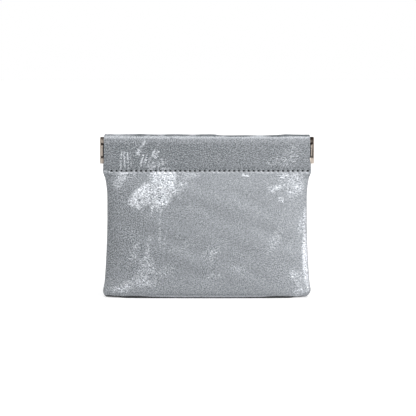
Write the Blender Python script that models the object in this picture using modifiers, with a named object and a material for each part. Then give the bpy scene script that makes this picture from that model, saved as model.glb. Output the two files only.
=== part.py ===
"""Coin pouch with a squeeze frame.

Two leather halves are sewn together at the sides and the bottom. The top of each
half is turned in and stitched down, which makes a channel for a flat steel spring.
The two springs are hinged to each other at both ends, so pressing the ends bows
them apart and opens the mouth. A thin lining hangs from the channel seams.

Units are metres, Z is up, the front faces -Y and the pouch stands on its bottom.
A depth is a distance from the plane y = 0, where the two halves meet.
"""
import math

import bmesh
import bpy

MM = 0.001
FRONT = -1
BACK = 1
LEFT = -1
RIGHT = 1

# Overall size, from knuckle to knuckle and from the foot to the top fold
FRAME_HALF_WIDTH = 55.0 * MM
POUCH_HEIGHT = 84.0 * MM

# Outline of the leather, seen from the front
KNUCKLE_SHOWN = 1.8 * MM
WAIST_DRAW = 1.9 * MM
FOOT_SPREAD = 0.3 * MM
NECK_DROP = 11.4 * MM
WAIST_HEIGHT = 44.0 * MM
CORNER_RADIUS = 2.5 * MM
FOOT_POWER = 1.8

# Thickness of the filled pouch, per half
BULGE_DEPTH = 11.0 * MM
FOOT_DEPTH = 5.3 * MM
BODY_SHARES = (
    (0.50, 0.925),
    (0.70, 0.85),
    (0.87, 0.72),
    (0.98, 0.55),
    (1.0, 0.40),
    (0.95, 0.25),
    (0.81, 0.125),
    (0.62, 0.045),
)
PILLOW_POWER = 2.6
CORNER_SPREAD = 12.0 * MM
LIFT_START_SHARE = 0.55

# Leather, its turned edges and its seams
LEATHER = 1.0 * MM
HALF_GAP = 0.15 * MM
FLAP_CLEARANCE = 1.8 * MM
FLAP_HEM = 2.0 * MM
FLAP_RECESS = 0.55 * MM
PINCH_HEIGHT = 2.8 * MM
GROOVE_DEPTH = 0.35 * MM
GROOVE_HALF_WIDTH = 0.9 * MM
TURN_RADIUS = 0.8 * MM
ALLOWANCE = 3.5 * MM
ALLOWANCE_DROP = 2.8 * MM

# Lining
LINING = 0.4 * MM
LINING_FIT = 0.1 * MM
LINING_SLACK = 0.3 * MM
LINING_CLEARANCE = 0.6 * MM
LINING_TUCK = 2.0 * MM
LINING_TUCK_BELOW = 2.8 * MM
LINING_EDGE_DROP = 3.2 * MM

# Spring strips and hinges
STRIP_THICKNESS = 0.4 * MM
STRIP_HEIGHT = 12.7 * MM
STRIP_TOP_GAP = 0.7 * MM
STITCH_BELOW_STRIP = 4.2 * MM
SHEET = 0.4 * MM
SHEET_FIT = 0.12 * MM
CHANNEL_FIT = 0.2 * MM
PIN_RADIUS = 0.7 * MM
PIN_FIT = 0.2 * MM
PIN_HEAD_RADIUS = 1.15 * MM
PIN_HEAD_HEIGHT = 0.5 * MM
PIN_TAIL_RADIUS = 0.85 * MM
PIN_TAIL_HEIGHT = 0.3 * MM
PIN_CHAMFER = 0.15 * MM
STACK_GAP = 0.15 * MM
LEAF_LENGTH = 8.0 * MM
LEAF_BEND = 0.45 * MM
MIDDLE_KNUCKLE = 6.7 * MM
MIDDLE_KNUCKLE_BASE = 3.0 * MM
CUT_OVERRUN = 1.0 * MM
PEEL_ANGLE = math.radians(130.0)

# Threads
STITCH_PITCH = 2.54 * MM
STITCH_END = 1.0 * MM
THREAD_RADIUS = 0.22 * MM
THREAD_LIFT = 0.06 * MM
THREAD_WAVE = 0.15 * MM
SEAM_THREAD_RADIUS = 0.2 * MM
SEAM_INSET = 1.8 * MM
LINING_THREAD_RADIUS = 0.25 * MM

# Fineness of the meshes
COLUMNS = 24
LINING_COLUMNS = 14
ROWS_PER_SPAN = 2
FOLD_STEPS = 6
PIN_STEPS = 28
CURL_STEPS = 20
BEND_STEPS = 2
SEAM_STEPS = 22
SEAM_CORNER_STEPS = 4
SHARP_ANGLE = math.radians(40.0)
MERGE = 0.01 * MM

# Places along and up the pouch
STRIP_BASE = POUCH_HEIGHT - LEATHER - STRIP_TOP_GAP - STRIP_HEIGHT
STITCH_HEIGHT = STRIP_BASE - STITCH_BELOW_STRIP
CURL_RADIUS = PIN_RADIUS + PIN_FIT + SHEET / 2
LEAF_NECK = CURL_RADIUS + 2 * LEAF_BEND
PIN_X = FRAME_HALF_WIDTH - CURL_RADIUS - SHEET / 2
BAND_HALF_WIDTH = FRAME_HALF_WIDTH - KNUCKLE_SHOWN
WAIST_HALF_WIDTH = BAND_HALF_WIDTH - WAIST_DRAW
FOOT_HALF_WIDTH = BAND_HALF_WIDTH + FOOT_SPREAD
FLAP_HALF_WIDTH = PIN_X - CURL_RADIUS - SHEET / 2 - FLAP_CLEARANCE
STITCH_COUNT = int(2 * (BAND_HALF_WIDTH - STITCH_END) / STITCH_PITCH)

# Depths of the layers of one half, each at the middle of its own thickness
FRAME_ROOM = STRIP_THICKNESS + 2 * SHEET_FIT + 2 * SHEET
FLAP_MID = HALF_GAP + LEATHER / 2
FLAP_STITCHED_MID = FLAP_MID + FLAP_RECESS
LINING_TOP_MID = FLAP_STITCHED_MID + LEATHER / 2 + LINING_FIT + LINING / 2
GROOVE_MID = LINING_TOP_MID + LINING / 2 + LINING_FIT + LEATHER / 2
SHOULDER_MID = GROOVE_MID + GROOVE_DEPTH
STRIP_MID = HALF_GAP + LEATHER + CHANNEL_FIT + FRAME_ROOM / 2
WALL_MID = STRIP_MID + FRAME_ROOM / 2 + CHANNEL_FIT + LEATHER / 2
FOLD_RADIUS = (WALL_MID - FLAP_MID) / 2
SIDE_MID = FLAP_MID + TURN_RADIUS
FOLD_HEIGHT = POUCH_HEIGHT - LEATHER / 2 - FOLD_RADIUS
LINING_EDGE_MID = LINING_THREAD_RADIUS + LINING_FIT
LINING_INSET = LEATHER / 2 + TURN_RADIUS + ALLOWANCE + LINING_CLEARANCE
LINING_HALF_WIDTH = WAIST_HALF_WIDTH - LINING_INSET
LINING_FLOOR = LINING_INSET + LINING / 2


def clear_scene():
    """Remove every object that the file starts with."""
    for old in list(bpy.data.objects):
        bpy.data.objects.remove(old, do_unlink=True)


def make_material(name, colour, roughness, metallic):
    """A Principled material in one colour."""
    material = bpy.data.materials.new(name)
    material.use_nodes = True
    shader = material.node_tree.nodes["Principled BSDF"]
    shader.inputs["Base Color"].default_value = (*colour, 1.0)
    shader.inputs["Roughness"].default_value = roughness
    shader.inputs["Metallic"].default_value = metallic
    return material


def add_empty(name, place, parent, collection):
    """An empty that carries a group of pieces."""
    empty = bpy.data.objects.new(name, None)
    empty.location = place
    empty.parent = parent
    collection.objects.link(empty)
    return empty


def add_mesh(name, points, faces, material, parent, collection):
    """A mesh object from points and faces that a rule has made."""
    mesh = bpy.data.meshes.new(name)
    mesh.from_pydata(points, [], faces)
    mesh.materials.append(material)
    mesh.shade_smooth()
    made = bpy.data.objects.new(name, mesh)
    made.parent = parent
    collection.objects.link(made)
    return made


def add_solidify(target, thickness):
    """Give an open surface its thickness, half on each side."""
    solidify = target.modifiers.new("thickness", "SOLIDIFY")
    solidify.thickness = thickness
    solidify.offset = 0.0


def smooth_share(value, low, high):
    """A share that goes smoothly from 0 at low to 1 at high."""
    share = min(max((value - low) / (high - low), 0.0), 1.0)
    return share * share * (3.0 - 2.0 * share)


def outline_half_width(height):
    """Half width of the pouch at a height, as the front view shows it."""
    neck = min(max((height - STITCH_HEIGHT) / NECK_DROP + 1.0, 0.0), 1.0)
    foot = max((WAIST_HEIGHT - height) / WAIST_HEIGHT, 0.0)
    width = WAIST_HALF_WIDTH
    width += (BAND_HALF_WIDTH - WAIST_HALF_WIDTH) * neck ** 2
    width += (FOOT_HALF_WIDTH - WAIST_HALF_WIDTH) * foot ** FOOT_POWER
    return width


def seam_half_width(height):
    """Half width to the middle of the leather, with the round bottom corner."""
    radius = CORNER_RADIUS - LEATHER / 2
    width = outline_half_width(height) - LEATHER / 2
    below = LEATHER / 2 + radius - height
    if below > 0.0:
        width -= radius - math.sqrt(max(radius ** 2 - below ** 2, 0.0))
    return width


def curve_through(controls, steps):
    """Points of a smooth curve through the control points, all of them kept."""
    points = []
    last = len(controls) - 1
    for index in range(last):
        before = controls[max(index - 1, 0)]
        start = controls[index]
        end = controls[index + 1]
        after = controls[min(index + 2, last)]
        for step in range(steps):
            t = step / steps
            point = []
            for a, b, c, d in zip(before, start, end, after):
                bend = (2 * a - 5 * b + 4 * c - d) * t ** 2
                bend += (3 * b - a - 3 * c + d) * t ** 3
                point.append((2 * b + (c - a) * t + bend) / 2)
            points.append(tuple(point))
    points.append(controls[last])
    return points


def body_profile():
    """Depth and height of the leather's middle down the centre of one half."""
    bulge = BULGE_DEPTH - LEATHER / 2
    controls = [(SHOULDER_MID, STITCH_HEIGHT - GROOVE_HALF_WIDTH)]
    for depth_share, height_share in BODY_SHARES:
        controls.append((bulge * depth_share, STITCH_HEIGHT * height_share))
    controls.append((FOOT_DEPTH - LEATHER / 2, LEATHER / 2))
    profile = curve_through(controls, ROWS_PER_SPAN)
    foot_start = FOOT_DEPTH - LEATHER / 2
    profile.append(((foot_start + SIDE_MID) / 2, LEATHER / 2))
    profile.append((SIDE_MID, LEATHER / 2))
    return profile


def edge_heights(profile):
    """Heights of the profile's rows at the side seams.

    Low rows lie on the flat foot at the centre, and climb the corner at the side.
    """
    lengths = [0.0]
    for first, second in zip(profile[::-1], profile[-2::-1]):
        lengths.append(lengths[-1] + math.dist(first, second))
    lengths.reverse()
    corner = LEATHER / 2 + (CORNER_RADIUS - LEATHER / 2) * (1.0 - math.sqrt(0.5))
    join = max(index for index, length in enumerate(lengths) if length >= CORNER_SPREAD)
    join_height = profile[join][1]
    heights = [height for _, height in profile[:join]]
    for length in lengths[join:]:
        heights.append(corner + (join_height - corner) * length / lengths[join])
    return heights


def panel_rows():
    """Rows of one leather half, from the flap's hem over the fold to the bottom seam.

    Each row is centre depth, centre height, edge depth, edge height, half width.
    """
    rows = []
    flap = (
        (FLAP_STITCHED_MID, STITCH_HEIGHT - FLAP_HEM),
        (FLAP_STITCHED_MID, STITCH_HEIGHT + GROOVE_HALF_WIDTH),
        (FLAP_MID, STITCH_HEIGHT + PINCH_HEIGHT),
        (FLAP_MID, (STITCH_HEIGHT + FOLD_HEIGHT) / 2),
    )
    for depth, height in flap:
        rows.append((depth, height, depth, height, FLAP_HALF_WIDTH))
    for step in range(FOLD_STEPS + 1):
        share = step / FOLD_STEPS
        depth = FLAP_MID + FOLD_RADIUS * (1.0 - math.cos(math.pi * share))
        height = FOLD_HEIGHT + FOLD_RADIUS * math.sin(math.pi * share)
        width_share = 1.0 - (1.0 - share) ** 3
        width = FLAP_HALF_WIDTH + (BAND_HALF_WIDTH - FLAP_HALF_WIDTH) * width_share
        rows.append((depth, height, depth, height, width))
    wall = (
        (WALL_MID, (STITCH_HEIGHT + FOLD_HEIGHT) / 2),
        (WALL_MID, STITCH_HEIGHT + PINCH_HEIGHT),
        (SHOULDER_MID, STITCH_HEIGHT + GROOVE_HALF_WIDTH),
        (GROOVE_MID, STITCH_HEIGHT),
    )
    for depth, height in wall:
        rows.append((depth, height, depth, height, BAND_HALF_WIDTH))
    profile = body_profile()
    for (depth, height), edge in zip(profile, edge_heights(profile)):
        low = STITCH_HEIGHT - GROOVE_HALF_WIDTH - ALLOWANCE_DROP
        open_share = smooth_share(edge, low, STITCH_HEIGHT - GROOVE_HALF_WIDTH)
        edge_depth = SIDE_MID + (SHOULDER_MID - SIDE_MID) * open_share
        width = seam_half_width(edge) + LEATHER / 2 * open_share
        rows.append((depth, height, edge_depth, edge, width))
    return rows


def column_places(columns):
    """Across share and depth share of each column of a pillow's section."""
    places = []
    for column in range(columns + 1):
        angle = math.pi * (column / columns - 0.5)
        across = abs(math.sin(angle)) ** (2.0 / PILLOW_POWER)
        places.append((math.copysign(across, angle), math.cos(angle)))
    return places


def grid_points(rows, columns, face):
    """Points of a half, row by row, on the front or the back."""
    points = []
    for centre_depth, centre_height, edge_depth, edge_height, half_width in rows:
        for across, depth_share in column_places(columns):
            lift = max((abs(across) - LIFT_START_SHARE) / (1.0 - LIFT_START_SHARE), 0.0) ** 2
            depth = edge_depth + (centre_depth - edge_depth) * depth_share
            height = centre_height + (edge_height - centre_height) * lift
            points.append((across * half_width, face * depth, height))
    return points


def grid_faces(row_count, columns):
    """Quads that join neighbouring rows of a grid."""
    faces = []
    for row in range(row_count - 1):
        for column in range(columns):
            first = row * (columns + 1) + column
            second = first + columns + 1
            faces.append((first, first + 1, second + 1, second))
    return faces


def inset_point(point, inset, depth, face, top):
    """A seam point moved in from the seam line, at another depth."""
    across = point[0] * (1.0 - inset / FOOT_HALF_WIDTH)
    floor = LEATHER / 2
    height = point[2] + inset * (top - point[2]) / (top - floor)
    return (across, face * depth, height)


def seam_path(row_count, columns, first_row):
    """Indices of the grid's edge, down the left side, along the bottom and up."""
    width = columns + 1
    path = [row * width for row in range(first_row, row_count)]
    path += [(row_count - 1) * width + column for column in range(1, columns)]
    path += [row * width + columns for row in range(row_count - 1, first_row - 1, -1)]
    return path


def add_panel(name, face, material, parent, collection):
    """One leather half: channel, body and the seam allowance turned inside."""
    rows = panel_rows()
    points = grid_points(rows, COLUMNS, face)
    faces = grid_faces(len(rows), COLUMNS)
    first_row = min(
        index for index, row in enumerate(rows)
        if row[2] <= SIDE_MID and row[3] < STITCH_HEIGHT - FLAP_HEM
    )
    path = seam_path(len(rows), COLUMNS, first_row)
    top = rows[first_row][3]
    half_turn = TURN_RADIUS * math.sqrt(0.5)
    rings = (
        (TURN_RADIUS - half_turn, SIDE_MID - half_turn),
        (TURN_RADIUS, FLAP_MID),
        (TURN_RADIUS + ALLOWANCE, FLAP_MID),
    )
    outer = path
    for inset, depth in rings:
        inner = []
        for index in path:
            inner.append(len(points))
            points.append(inset_point(points[index], inset, depth, face, top))
        for step in range(len(path) - 1):
            faces.append((outer[step], inner[step], inner[step + 1], outer[step + 1]))
        outer = inner
    panel = add_mesh(name, points, faces, material, parent, collection)
    bm = bmesh.new()
    bm.from_mesh(panel.data)
    bmesh.ops.recalc_face_normals(bm, faces=bm.faces)
    bm.to_mesh(panel.data)
    bm.free()
    add_solidify(panel, LEATHER)
    return panel


def lining_rows():
    """Rows of one lining half, from its tucked top edge down to its bottom seam."""
    rows = []
    tuck_low = STITCH_HEIGHT - LINING_TUCK_BELOW
    for height in (STITCH_HEIGHT + LINING_TUCK, STITCH_HEIGHT, tuck_low):
        rows.append((LINING_TOP_MID, height, LINING_TOP_MID, height, LINING_HALF_WIDTH))
    profile = body_profile()[1:-2]
    inset = LEATHER / 2 + LINING_SLACK + LINING / 2
    high = STITCH_HEIGHT - GROOVE_HALF_WIDTH
    for depth, height in profile:
        share = (height - LEATHER / 2) / (high - LEATHER / 2)
        lowered = LINING_FLOOR + (tuck_low - LINING_FLOOR) * share
        open_share = smooth_share(lowered, tuck_low - LINING_EDGE_DROP, tuck_low)
        edge = LINING_EDGE_MID + (LINING_TOP_MID - LINING_EDGE_MID) * open_share
        centre = max(depth - inset, LINING_TOP_MID)
        rows.append((centre, lowered, edge, lowered, LINING_HALF_WIDTH))
    rows.append((LINING_EDGE_MID, LINING_FLOOR, LINING_EDGE_MID, LINING_FLOOR, LINING_HALF_WIDTH))
    return rows


def add_lining(name, face, material, parent, collection):
    """One lining half, open at the top."""
    rows = lining_rows()
    points = grid_points(rows, LINING_COLUMNS, face)
    faces = grid_faces(len(rows), LINING_COLUMNS)
    lining = add_mesh(name, points, faces, material, parent, collection)
    add_solidify(lining, LINING)
    return lining


def add_strip(name, face, material, parent, collection):
    """One flat spring, held at both ends by the hinge leaves."""
    half_length = PIN_X - LEAF_NECK
    mesh = bpy.data.meshes.new(name)
    bm = bmesh.new()
    bmesh.ops.create_cube(bm, size=1.0)
    bmesh.ops.scale(bm, vec=(2 * half_length, STRIP_THICKNESS, STRIP_HEIGHT), verts=bm.verts)
    centre = (0.0, face * STRIP_MID, STRIP_BASE + STRIP_HEIGHT / 2)
    bmesh.ops.translate(bm, vec=centre, verts=bm.verts)
    bm.to_mesh(mesh)
    bm.free()
    mesh.materials.append(material)
    strip = bpy.data.objects.new(name, mesh)
    strip.parent = parent
    collection.objects.link(strip)
    return strip


def leaf_outline():
    """Middle line of the folded sheet, seen from above, with the pin at the origin.

    The first axis runs in along the strip, the second away from the plane y = 0.
    """
    tail_offset = STRIP_THICKNESS / 2 + SHEET_FIT + SHEET / 2
    inner = STRIP_MID - tail_offset
    outer = STRIP_MID + tail_offset
    line = [(LEAF_LENGTH, inner), (CURL_RADIUS + 2 * LEAF_BEND, inner)]
    for step in range(BEND_STEPS + 1):
        angle = math.pi / 2 + math.pi / 2 * step / BEND_STEPS
        along = CURL_RADIUS + LEAF_BEND + LEAF_BEND * math.cos(angle)
        line.append((along, inner - LEAF_BEND + LEAF_BEND * math.sin(angle)))
    sweep = 2 * math.pi - PEEL_ANGLE
    for step in range(CURL_STEPS + 1):
        angle = -sweep * step / CURL_STEPS
        line.append((CURL_RADIUS * math.cos(angle), CURL_RADIUS * math.sin(angle)))
    line.append((LEAF_NECK / 2 - LEAF_BEND / 2, outer - LEAF_BEND))
    line.append((LEAF_NECK - LEAF_BEND / 2, outer))
    line.append((LEAF_LENGTH, outer))
    return line


def add_knuckle_cutter(name, base, top, side, place, parent, collection):
    """A box that takes the curl away between two heights."""
    reach = CURL_RADIUS + SHEET / 2
    low_x = -reach - CUT_OVERRUN
    high_x = LEAF_NECK
    depth = STRIP_MID + FRAME_ROOM
    mesh = bpy.data.meshes.new(name)
    bm = bmesh.new()
    bmesh.ops.create_cube(bm, size=1.0)
    size = (high_x - low_x, 2 * (depth + CUT_OVERRUN), top - base)
    bmesh.ops.scale(bm, vec=size, verts=bm.verts)
    centre = (-side * (low_x + high_x) / 2, 0.0, (base + top) / 2)
    bmesh.ops.translate(bm, vec=centre, verts=bm.verts)
    bm.to_mesh(mesh)
    bm.free()
    cutter = bpy.data.objects.new(name, mesh)
    cutter.location = place
    cutter.parent = parent
    cutter.hide_render = True
    cutter.display_type = "WIRE"
    collection.objects.link(cutter)
    return cutter


def add_leaf(name, side, face, material, parent, collection, cutters):
    """A folded sheet that grips the strip's end and curls round the pin."""
    line = leaf_outline()
    points = []
    for height in (0.0, STRIP_HEIGHT):
        for along, out in line:
            points.append((-side * along, face * out, height))
    faces = grid_faces(2, len(line) - 1)
    leaf = add_mesh(name, points, faces, material, parent, collection)
    place = (side * PIN_X, 0.0, STRIP_BASE)
    leaf.location = place
    add_solidify(leaf, SHEET)
    low = MIDDLE_KNUCKLE_BASE
    high = MIDDLE_KNUCKLE_BASE + MIDDLE_KNUCKLE
    if face == FRONT:
        spans = ((low - STACK_GAP, high + STACK_GAP),)
    else:
        spans = ((-CUT_OVERRUN, low), (high, STRIP_HEIGHT + CUT_OVERRUN))
    for number, (base, top) in enumerate(spans):
        cutter_name = f"{name}_cut_{number}"
        cutter = add_knuckle_cutter(cutter_name, base, top, side, place, parent, cutters)
        cut = leaf.modifiers.new(cutter_name, "BOOLEAN")
        cut.operation = "DIFFERENCE"
        cut.object = cutter
    leaf.data.set_sharp_from_angle(angle=SHARP_ANGLE)
    return leaf


def add_pin(name, side, material, parent, collection):
    """A hinge pin with a head above the stack and a swaged tail below."""
    bottom = -STACK_GAP - PIN_TAIL_HEIGHT
    head_base = STRIP_HEIGHT + STACK_GAP
    head_top = head_base + PIN_HEAD_HEIGHT
    outline = (
        (0.0, head_top),
        (PIN_HEAD_RADIUS - PIN_CHAMFER, head_top),
        (PIN_HEAD_RADIUS, head_top - PIN_CHAMFER),
        (PIN_HEAD_RADIUS, head_base),
        (PIN_RADIUS, head_base),
        (PIN_RADIUS, -STACK_GAP),
        (PIN_TAIL_RADIUS, -STACK_GAP),
        (PIN_TAIL_RADIUS, bottom + PIN_CHAMFER),
        (PIN_TAIL_RADIUS - PIN_CHAMFER, bottom),
        (0.0, bottom),
    )
    mesh = bpy.data.meshes.new(name)
    edges = [(index, index + 1) for index in range(len(outline) - 1)]
    mesh.from_pydata([(radius, 0.0, height) for radius, height in outline], edges, [])
    mesh.materials.append(material)
    pin = bpy.data.objects.new(name, mesh)
    pin.location = (side * PIN_X, 0.0, STRIP_BASE)
    pin.parent = parent
    collection.objects.link(pin)
    screw = pin.modifiers.new("turn", "SCREW")
    screw.steps = PIN_STEPS
    screw.render_steps = PIN_STEPS
    screw.use_merge_vertices = True
    screw.merge_threshold = MERGE
    return pin


def add_thread(name, points, radius, material, parent, collection):
    """A thread as a thin round tube through the points."""
    curve = bpy.data.curves.new(name, "CURVE")
    curve.dimensions = "3D"
    curve.bevel_depth = radius
    curve.bevel_resolution = 0
    curve.use_fill_caps = True
    spline = curve.splines.new("POLY")
    spline.points.add(len(points) - 1)
    for target, point in zip(spline.points, points):
        target.co = (*point, 1.0)
    curve.materials.append(material)
    thread = bpy.data.objects.new(name, curve)
    thread.parent = parent
    collection.objects.link(thread)
    return thread


def channel_needle_points(face):
    """The outer thread of a channel seam, which dips at each needle hole."""
    bottom = GROOVE_MID + LEATHER / 2 + THREAD_LIFT + THREAD_RADIUS
    start = -STITCH_PITCH * STITCH_COUNT / 2
    points = []
    for half_step in range(2 * STITCH_COUNT + 1):
        depth = bottom + THREAD_WAVE * (half_step % 2)
        points.append((start + STITCH_PITCH / 2 * half_step, face * depth, STITCH_HEIGHT))
    return points


def channel_bobbin_points(face):
    """The inner thread of a channel seam, which lies in the flap's recess."""
    depth = FLAP_STITCHED_MID - LEATHER / 2 - THREAD_LIFT - SEAM_THREAD_RADIUS
    half_length = FLAP_HALF_WIDTH - STITCH_PITCH
    points = []
    for step in range(SEAM_STEPS + 1):
        across = half_length * (2.0 * step / SEAM_STEPS - 1.0)
        points.append((across, face * depth, STITCH_HEIGHT))
    return points


def round_the_bag(half_width_at, top, floor, radius, depth):
    """A route down one side, round the bottom corners and up the other side."""
    half = []
    for step in range(SEAM_STEPS):
        height = top + (floor + radius - top) * step / SEAM_STEPS
        half.append((half_width_at(height), height))
    side = half_width_at(floor + radius)
    for step in range(SEAM_CORNER_STEPS + 1):
        angle = math.pi / 2 * step / SEAM_CORNER_STEPS
        across = side - radius + radius * math.cos(angle)
        half.append((across, floor + radius - radius * math.sin(angle)))
    left = [(-across, depth, height) for across, height in half]
    right = [(across, depth, height) for across, height in half]
    return left + [(0.0, depth, floor)] + right[::-1]


def seam_thread_points(face):
    """The lockstitch's thread on one seam allowance."""
    depth = face * (FLAP_MID + LEATHER / 2 + THREAD_LIFT + SEAM_THREAD_RADIUS)
    inset = TURN_RADIUS + SEAM_INSET
    top = STITCH_HEIGHT - GROOVE_HALF_WIDTH - 2 * ALLOWANCE_DROP

    def half_width_at(height):
        return outline_half_width(height) - LEATHER / 2 - inset

    return round_the_bag(half_width_at, top, LEATHER / 2 + inset, CORNER_RADIUS, depth)


def lining_thread_points():
    """The thread that closes the edge between the two linings."""
    top = STITCH_HEIGHT - LINING_TUCK_BELOW - LINING_EDGE_DROP

    def half_width_at(height):
        return LINING_HALF_WIDTH

    return round_the_bag(half_width_at, top, LINING_FLOOR, LINING_THREAD_RADIUS, 0.0)


def build():
    """Make the pouch."""
    clear_scene()
    parts = bpy.data.collections.new("coin_pouch")
    cutters = bpy.data.collections.new("cutters")
    bpy.context.scene.collection.children.link(parts)
    bpy.context.scene.collection.children.link(cutters)

    leather = make_material("silver_leather", (0.30, 0.31, 0.33), 0.5, 0.35)
    lining = make_material("lining_cloth", (0.02, 0.02, 0.022), 0.9, 0.0)
    steel = make_material("spring_steel", (0.45, 0.45, 0.47), 0.35, 1.0)
    nickel = make_material("nickel", (0.62, 0.58, 0.55), 0.25, 1.0)
    thread = make_material("grey_thread", (0.20, 0.21, 0.22), 0.7, 0.0)

    pouch = add_empty("pouch", (0.0, 0.0, 0.0), None, parts)
    back_half = add_empty("back_half", (0.0, 0.0, 0.0), pouch, parts)
    front_half = add_empty("front_half", (0.0, 0.0, 0.0), pouch, parts)
    halves = (("front", FRONT, front_half), ("back", BACK, back_half))

    for word, face, half in halves:
        add_panel(f"{word}_panel", face, leather, half, parts)
        add_lining(f"{word}_lining", face, lining, half, parts)
        add_strip(f"{word}_spring_strip", face, steel, half, parts)
        needle = channel_needle_points(face)
        add_thread(f"{word}_channel_needle_thread", needle, THREAD_RADIUS, thread, half, parts)
        bobbin = channel_bobbin_points(face)
        bobbin_name = f"{word}_channel_bobbin_thread"
        add_thread(bobbin_name, bobbin, SEAM_THREAD_RADIUS, thread, half, parts)
        for end, side in (("left", LEFT), ("right", RIGHT)):
            leaf_name = f"{word}_{end}_hinge_leaf"
            add_leaf(leaf_name, side, face, nickel, pouch, parts, cutters)

    add_pin("left_hinge_pin", LEFT, nickel, pouch, parts)
    add_pin("right_hinge_pin", RIGHT, nickel, pouch, parts)
    needle = seam_thread_points(FRONT)
    add_thread("seam_needle_thread", needle, SEAM_THREAD_RADIUS, thread, pouch, parts)
    bobbin = seam_thread_points(BACK)
    add_thread("seam_bobbin_thread", bobbin, SEAM_THREAD_RADIUS, thread, pouch, parts)
    edge = lining_thread_points()
    add_thread("lining_seam_thread", edge, LINING_THREAD_RADIUS, thread, pouch, parts)


build()
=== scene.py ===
"""Coin pouch with a squeeze frame, in worn silver leather.

Lengths are in metres. The front faces -Y and the pouch stands on its foot at z = 0.
A depth is a distance from the plane y = 0, where the two halves meet.
"""

import math

import bpy
import numpy as np
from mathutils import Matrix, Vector


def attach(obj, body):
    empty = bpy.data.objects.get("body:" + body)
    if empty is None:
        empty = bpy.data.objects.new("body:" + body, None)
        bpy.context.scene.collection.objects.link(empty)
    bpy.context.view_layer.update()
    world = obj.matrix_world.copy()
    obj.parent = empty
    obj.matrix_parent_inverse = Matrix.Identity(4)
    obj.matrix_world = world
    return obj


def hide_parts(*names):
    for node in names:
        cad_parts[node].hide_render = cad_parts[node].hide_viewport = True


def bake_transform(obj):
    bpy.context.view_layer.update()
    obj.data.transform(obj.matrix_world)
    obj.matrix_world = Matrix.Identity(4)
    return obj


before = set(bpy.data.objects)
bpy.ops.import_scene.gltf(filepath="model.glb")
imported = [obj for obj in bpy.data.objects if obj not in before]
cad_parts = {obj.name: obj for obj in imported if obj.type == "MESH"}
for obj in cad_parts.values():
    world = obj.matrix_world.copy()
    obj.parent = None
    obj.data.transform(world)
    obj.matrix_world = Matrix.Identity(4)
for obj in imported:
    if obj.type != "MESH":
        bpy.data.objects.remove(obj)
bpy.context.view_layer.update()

MM = 0.001
FRONT = -1
BACK = 1
LEFT = -1
RIGHT = 1

# Outline of the leather, as in the frame
FRAME_HALF_WIDTH = 55.0 * MM
POUCH_HEIGHT = 84.0 * MM
KNUCKLE_SHOWN = 1.8 * MM
WAIST_DRAW = 1.9 * MM
FOOT_SPREAD = 0.3 * MM
NECK_DROP = 14.0 * MM
WAIST_HEIGHT = 44.0 * MM
CORNER_RADIUS = 2.5 * MM
FOOT_POWER = 1.8
BULGE_DEPTH = 11.0 * MM
FOOT_DEPTH = 5.3 * MM
BODY_SHARES = (
    (0.50, 0.925), (0.70, 0.85), (0.87, 0.72), (0.98, 0.55),
    (1.0, 0.40), (0.95, 0.25), (0.81, 0.125), (0.62, 0.045),
)
BODY_STEPS = (8, 7, 11, 6, 5, 5, 5, 5, 6)
PILLOW_POWER = 2.6
CORNER_SPREAD = 12.0 * MM
LIFT_START_SHARE = 0.78

# Leather, its channel and its seams
LEATHER = 1.0 * MM
HALF_GAP = 0.15 * MM
FLAP_CLEARANCE = 1.8 * MM
FLAP_RECESS = 0.55 * MM
PINCH_HEIGHT = 2.8 * MM
GROOVE_DEPTH = 0.14 * MM
GROOVE_HALF_WIDTH = 0.9 * MM
TURN_RADIUS = 0.8 * MM
ALLOWANCE = 3.5 * MM
ALLOWANCE_DROP = 2.8 * MM

# Lining
LINING = 0.4 * MM
LINING_FIT = 0.1 * MM
LINING_SLACK = 0.3 * MM
LINING_CLEARANCE = 0.6 * MM
LINING_TUCK = 2.0 * MM
LINING_TUCK_BELOW = 2.8 * MM
LINING_EDGE_DROP = 3.2 * MM

# Spring strips and hinges
STRIP_THICKNESS = 0.4 * MM
STRIP_HEIGHT = 12.7 * MM
STRIP_TOP_GAP = 0.7 * MM
STRIP_CORNER = 0.8 * MM
STITCH_BELOW_STRIP = 4.0 * MM
SHEET = 0.4 * MM
SHEET_FIT = 0.12 * MM
CHANNEL_FIT = 0.2 * MM
PIN_RADIUS = 0.7 * MM
PIN_FIT = 0.2 * MM
PIN_HEAD_RADIUS = 1.15 * MM
PIN_HEAD_HEIGHT = 0.5 * MM
PIN_TAIL_RADIUS = 0.85 * MM
PIN_TAIL_HEIGHT = 0.3 * MM
STACK_GAP = 0.15 * MM
LEAF_LENGTH = 8.0 * MM
LEAF_GRIP = 5.0 * MM
LEAF_BEND = 0.45 * MM
LEAF_EDGE = 0.07 * MM
MIDDLE_KNUCKLE = 6.7 * MM
MIDDLE_KNUCKLE_BASE = 3.0 * MM
PEEL_ANGLE = math.radians(130.0)

# Threads
STITCH_PITCH = 2.51 * MM
STITCH_COUNT = 41
FIRST_STITCH = 1
THREAD_RADIUS = 0.22 * MM
THREAD_LIFT = 0.06 * MM
SEAM_THREAD_RADIUS = 0.2 * MM
SEAM_INSET = 1.8 * MM
SEAM_DIP = 0.05 * MM
LINING_THREAD_RADIUS = 0.25 * MM

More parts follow.
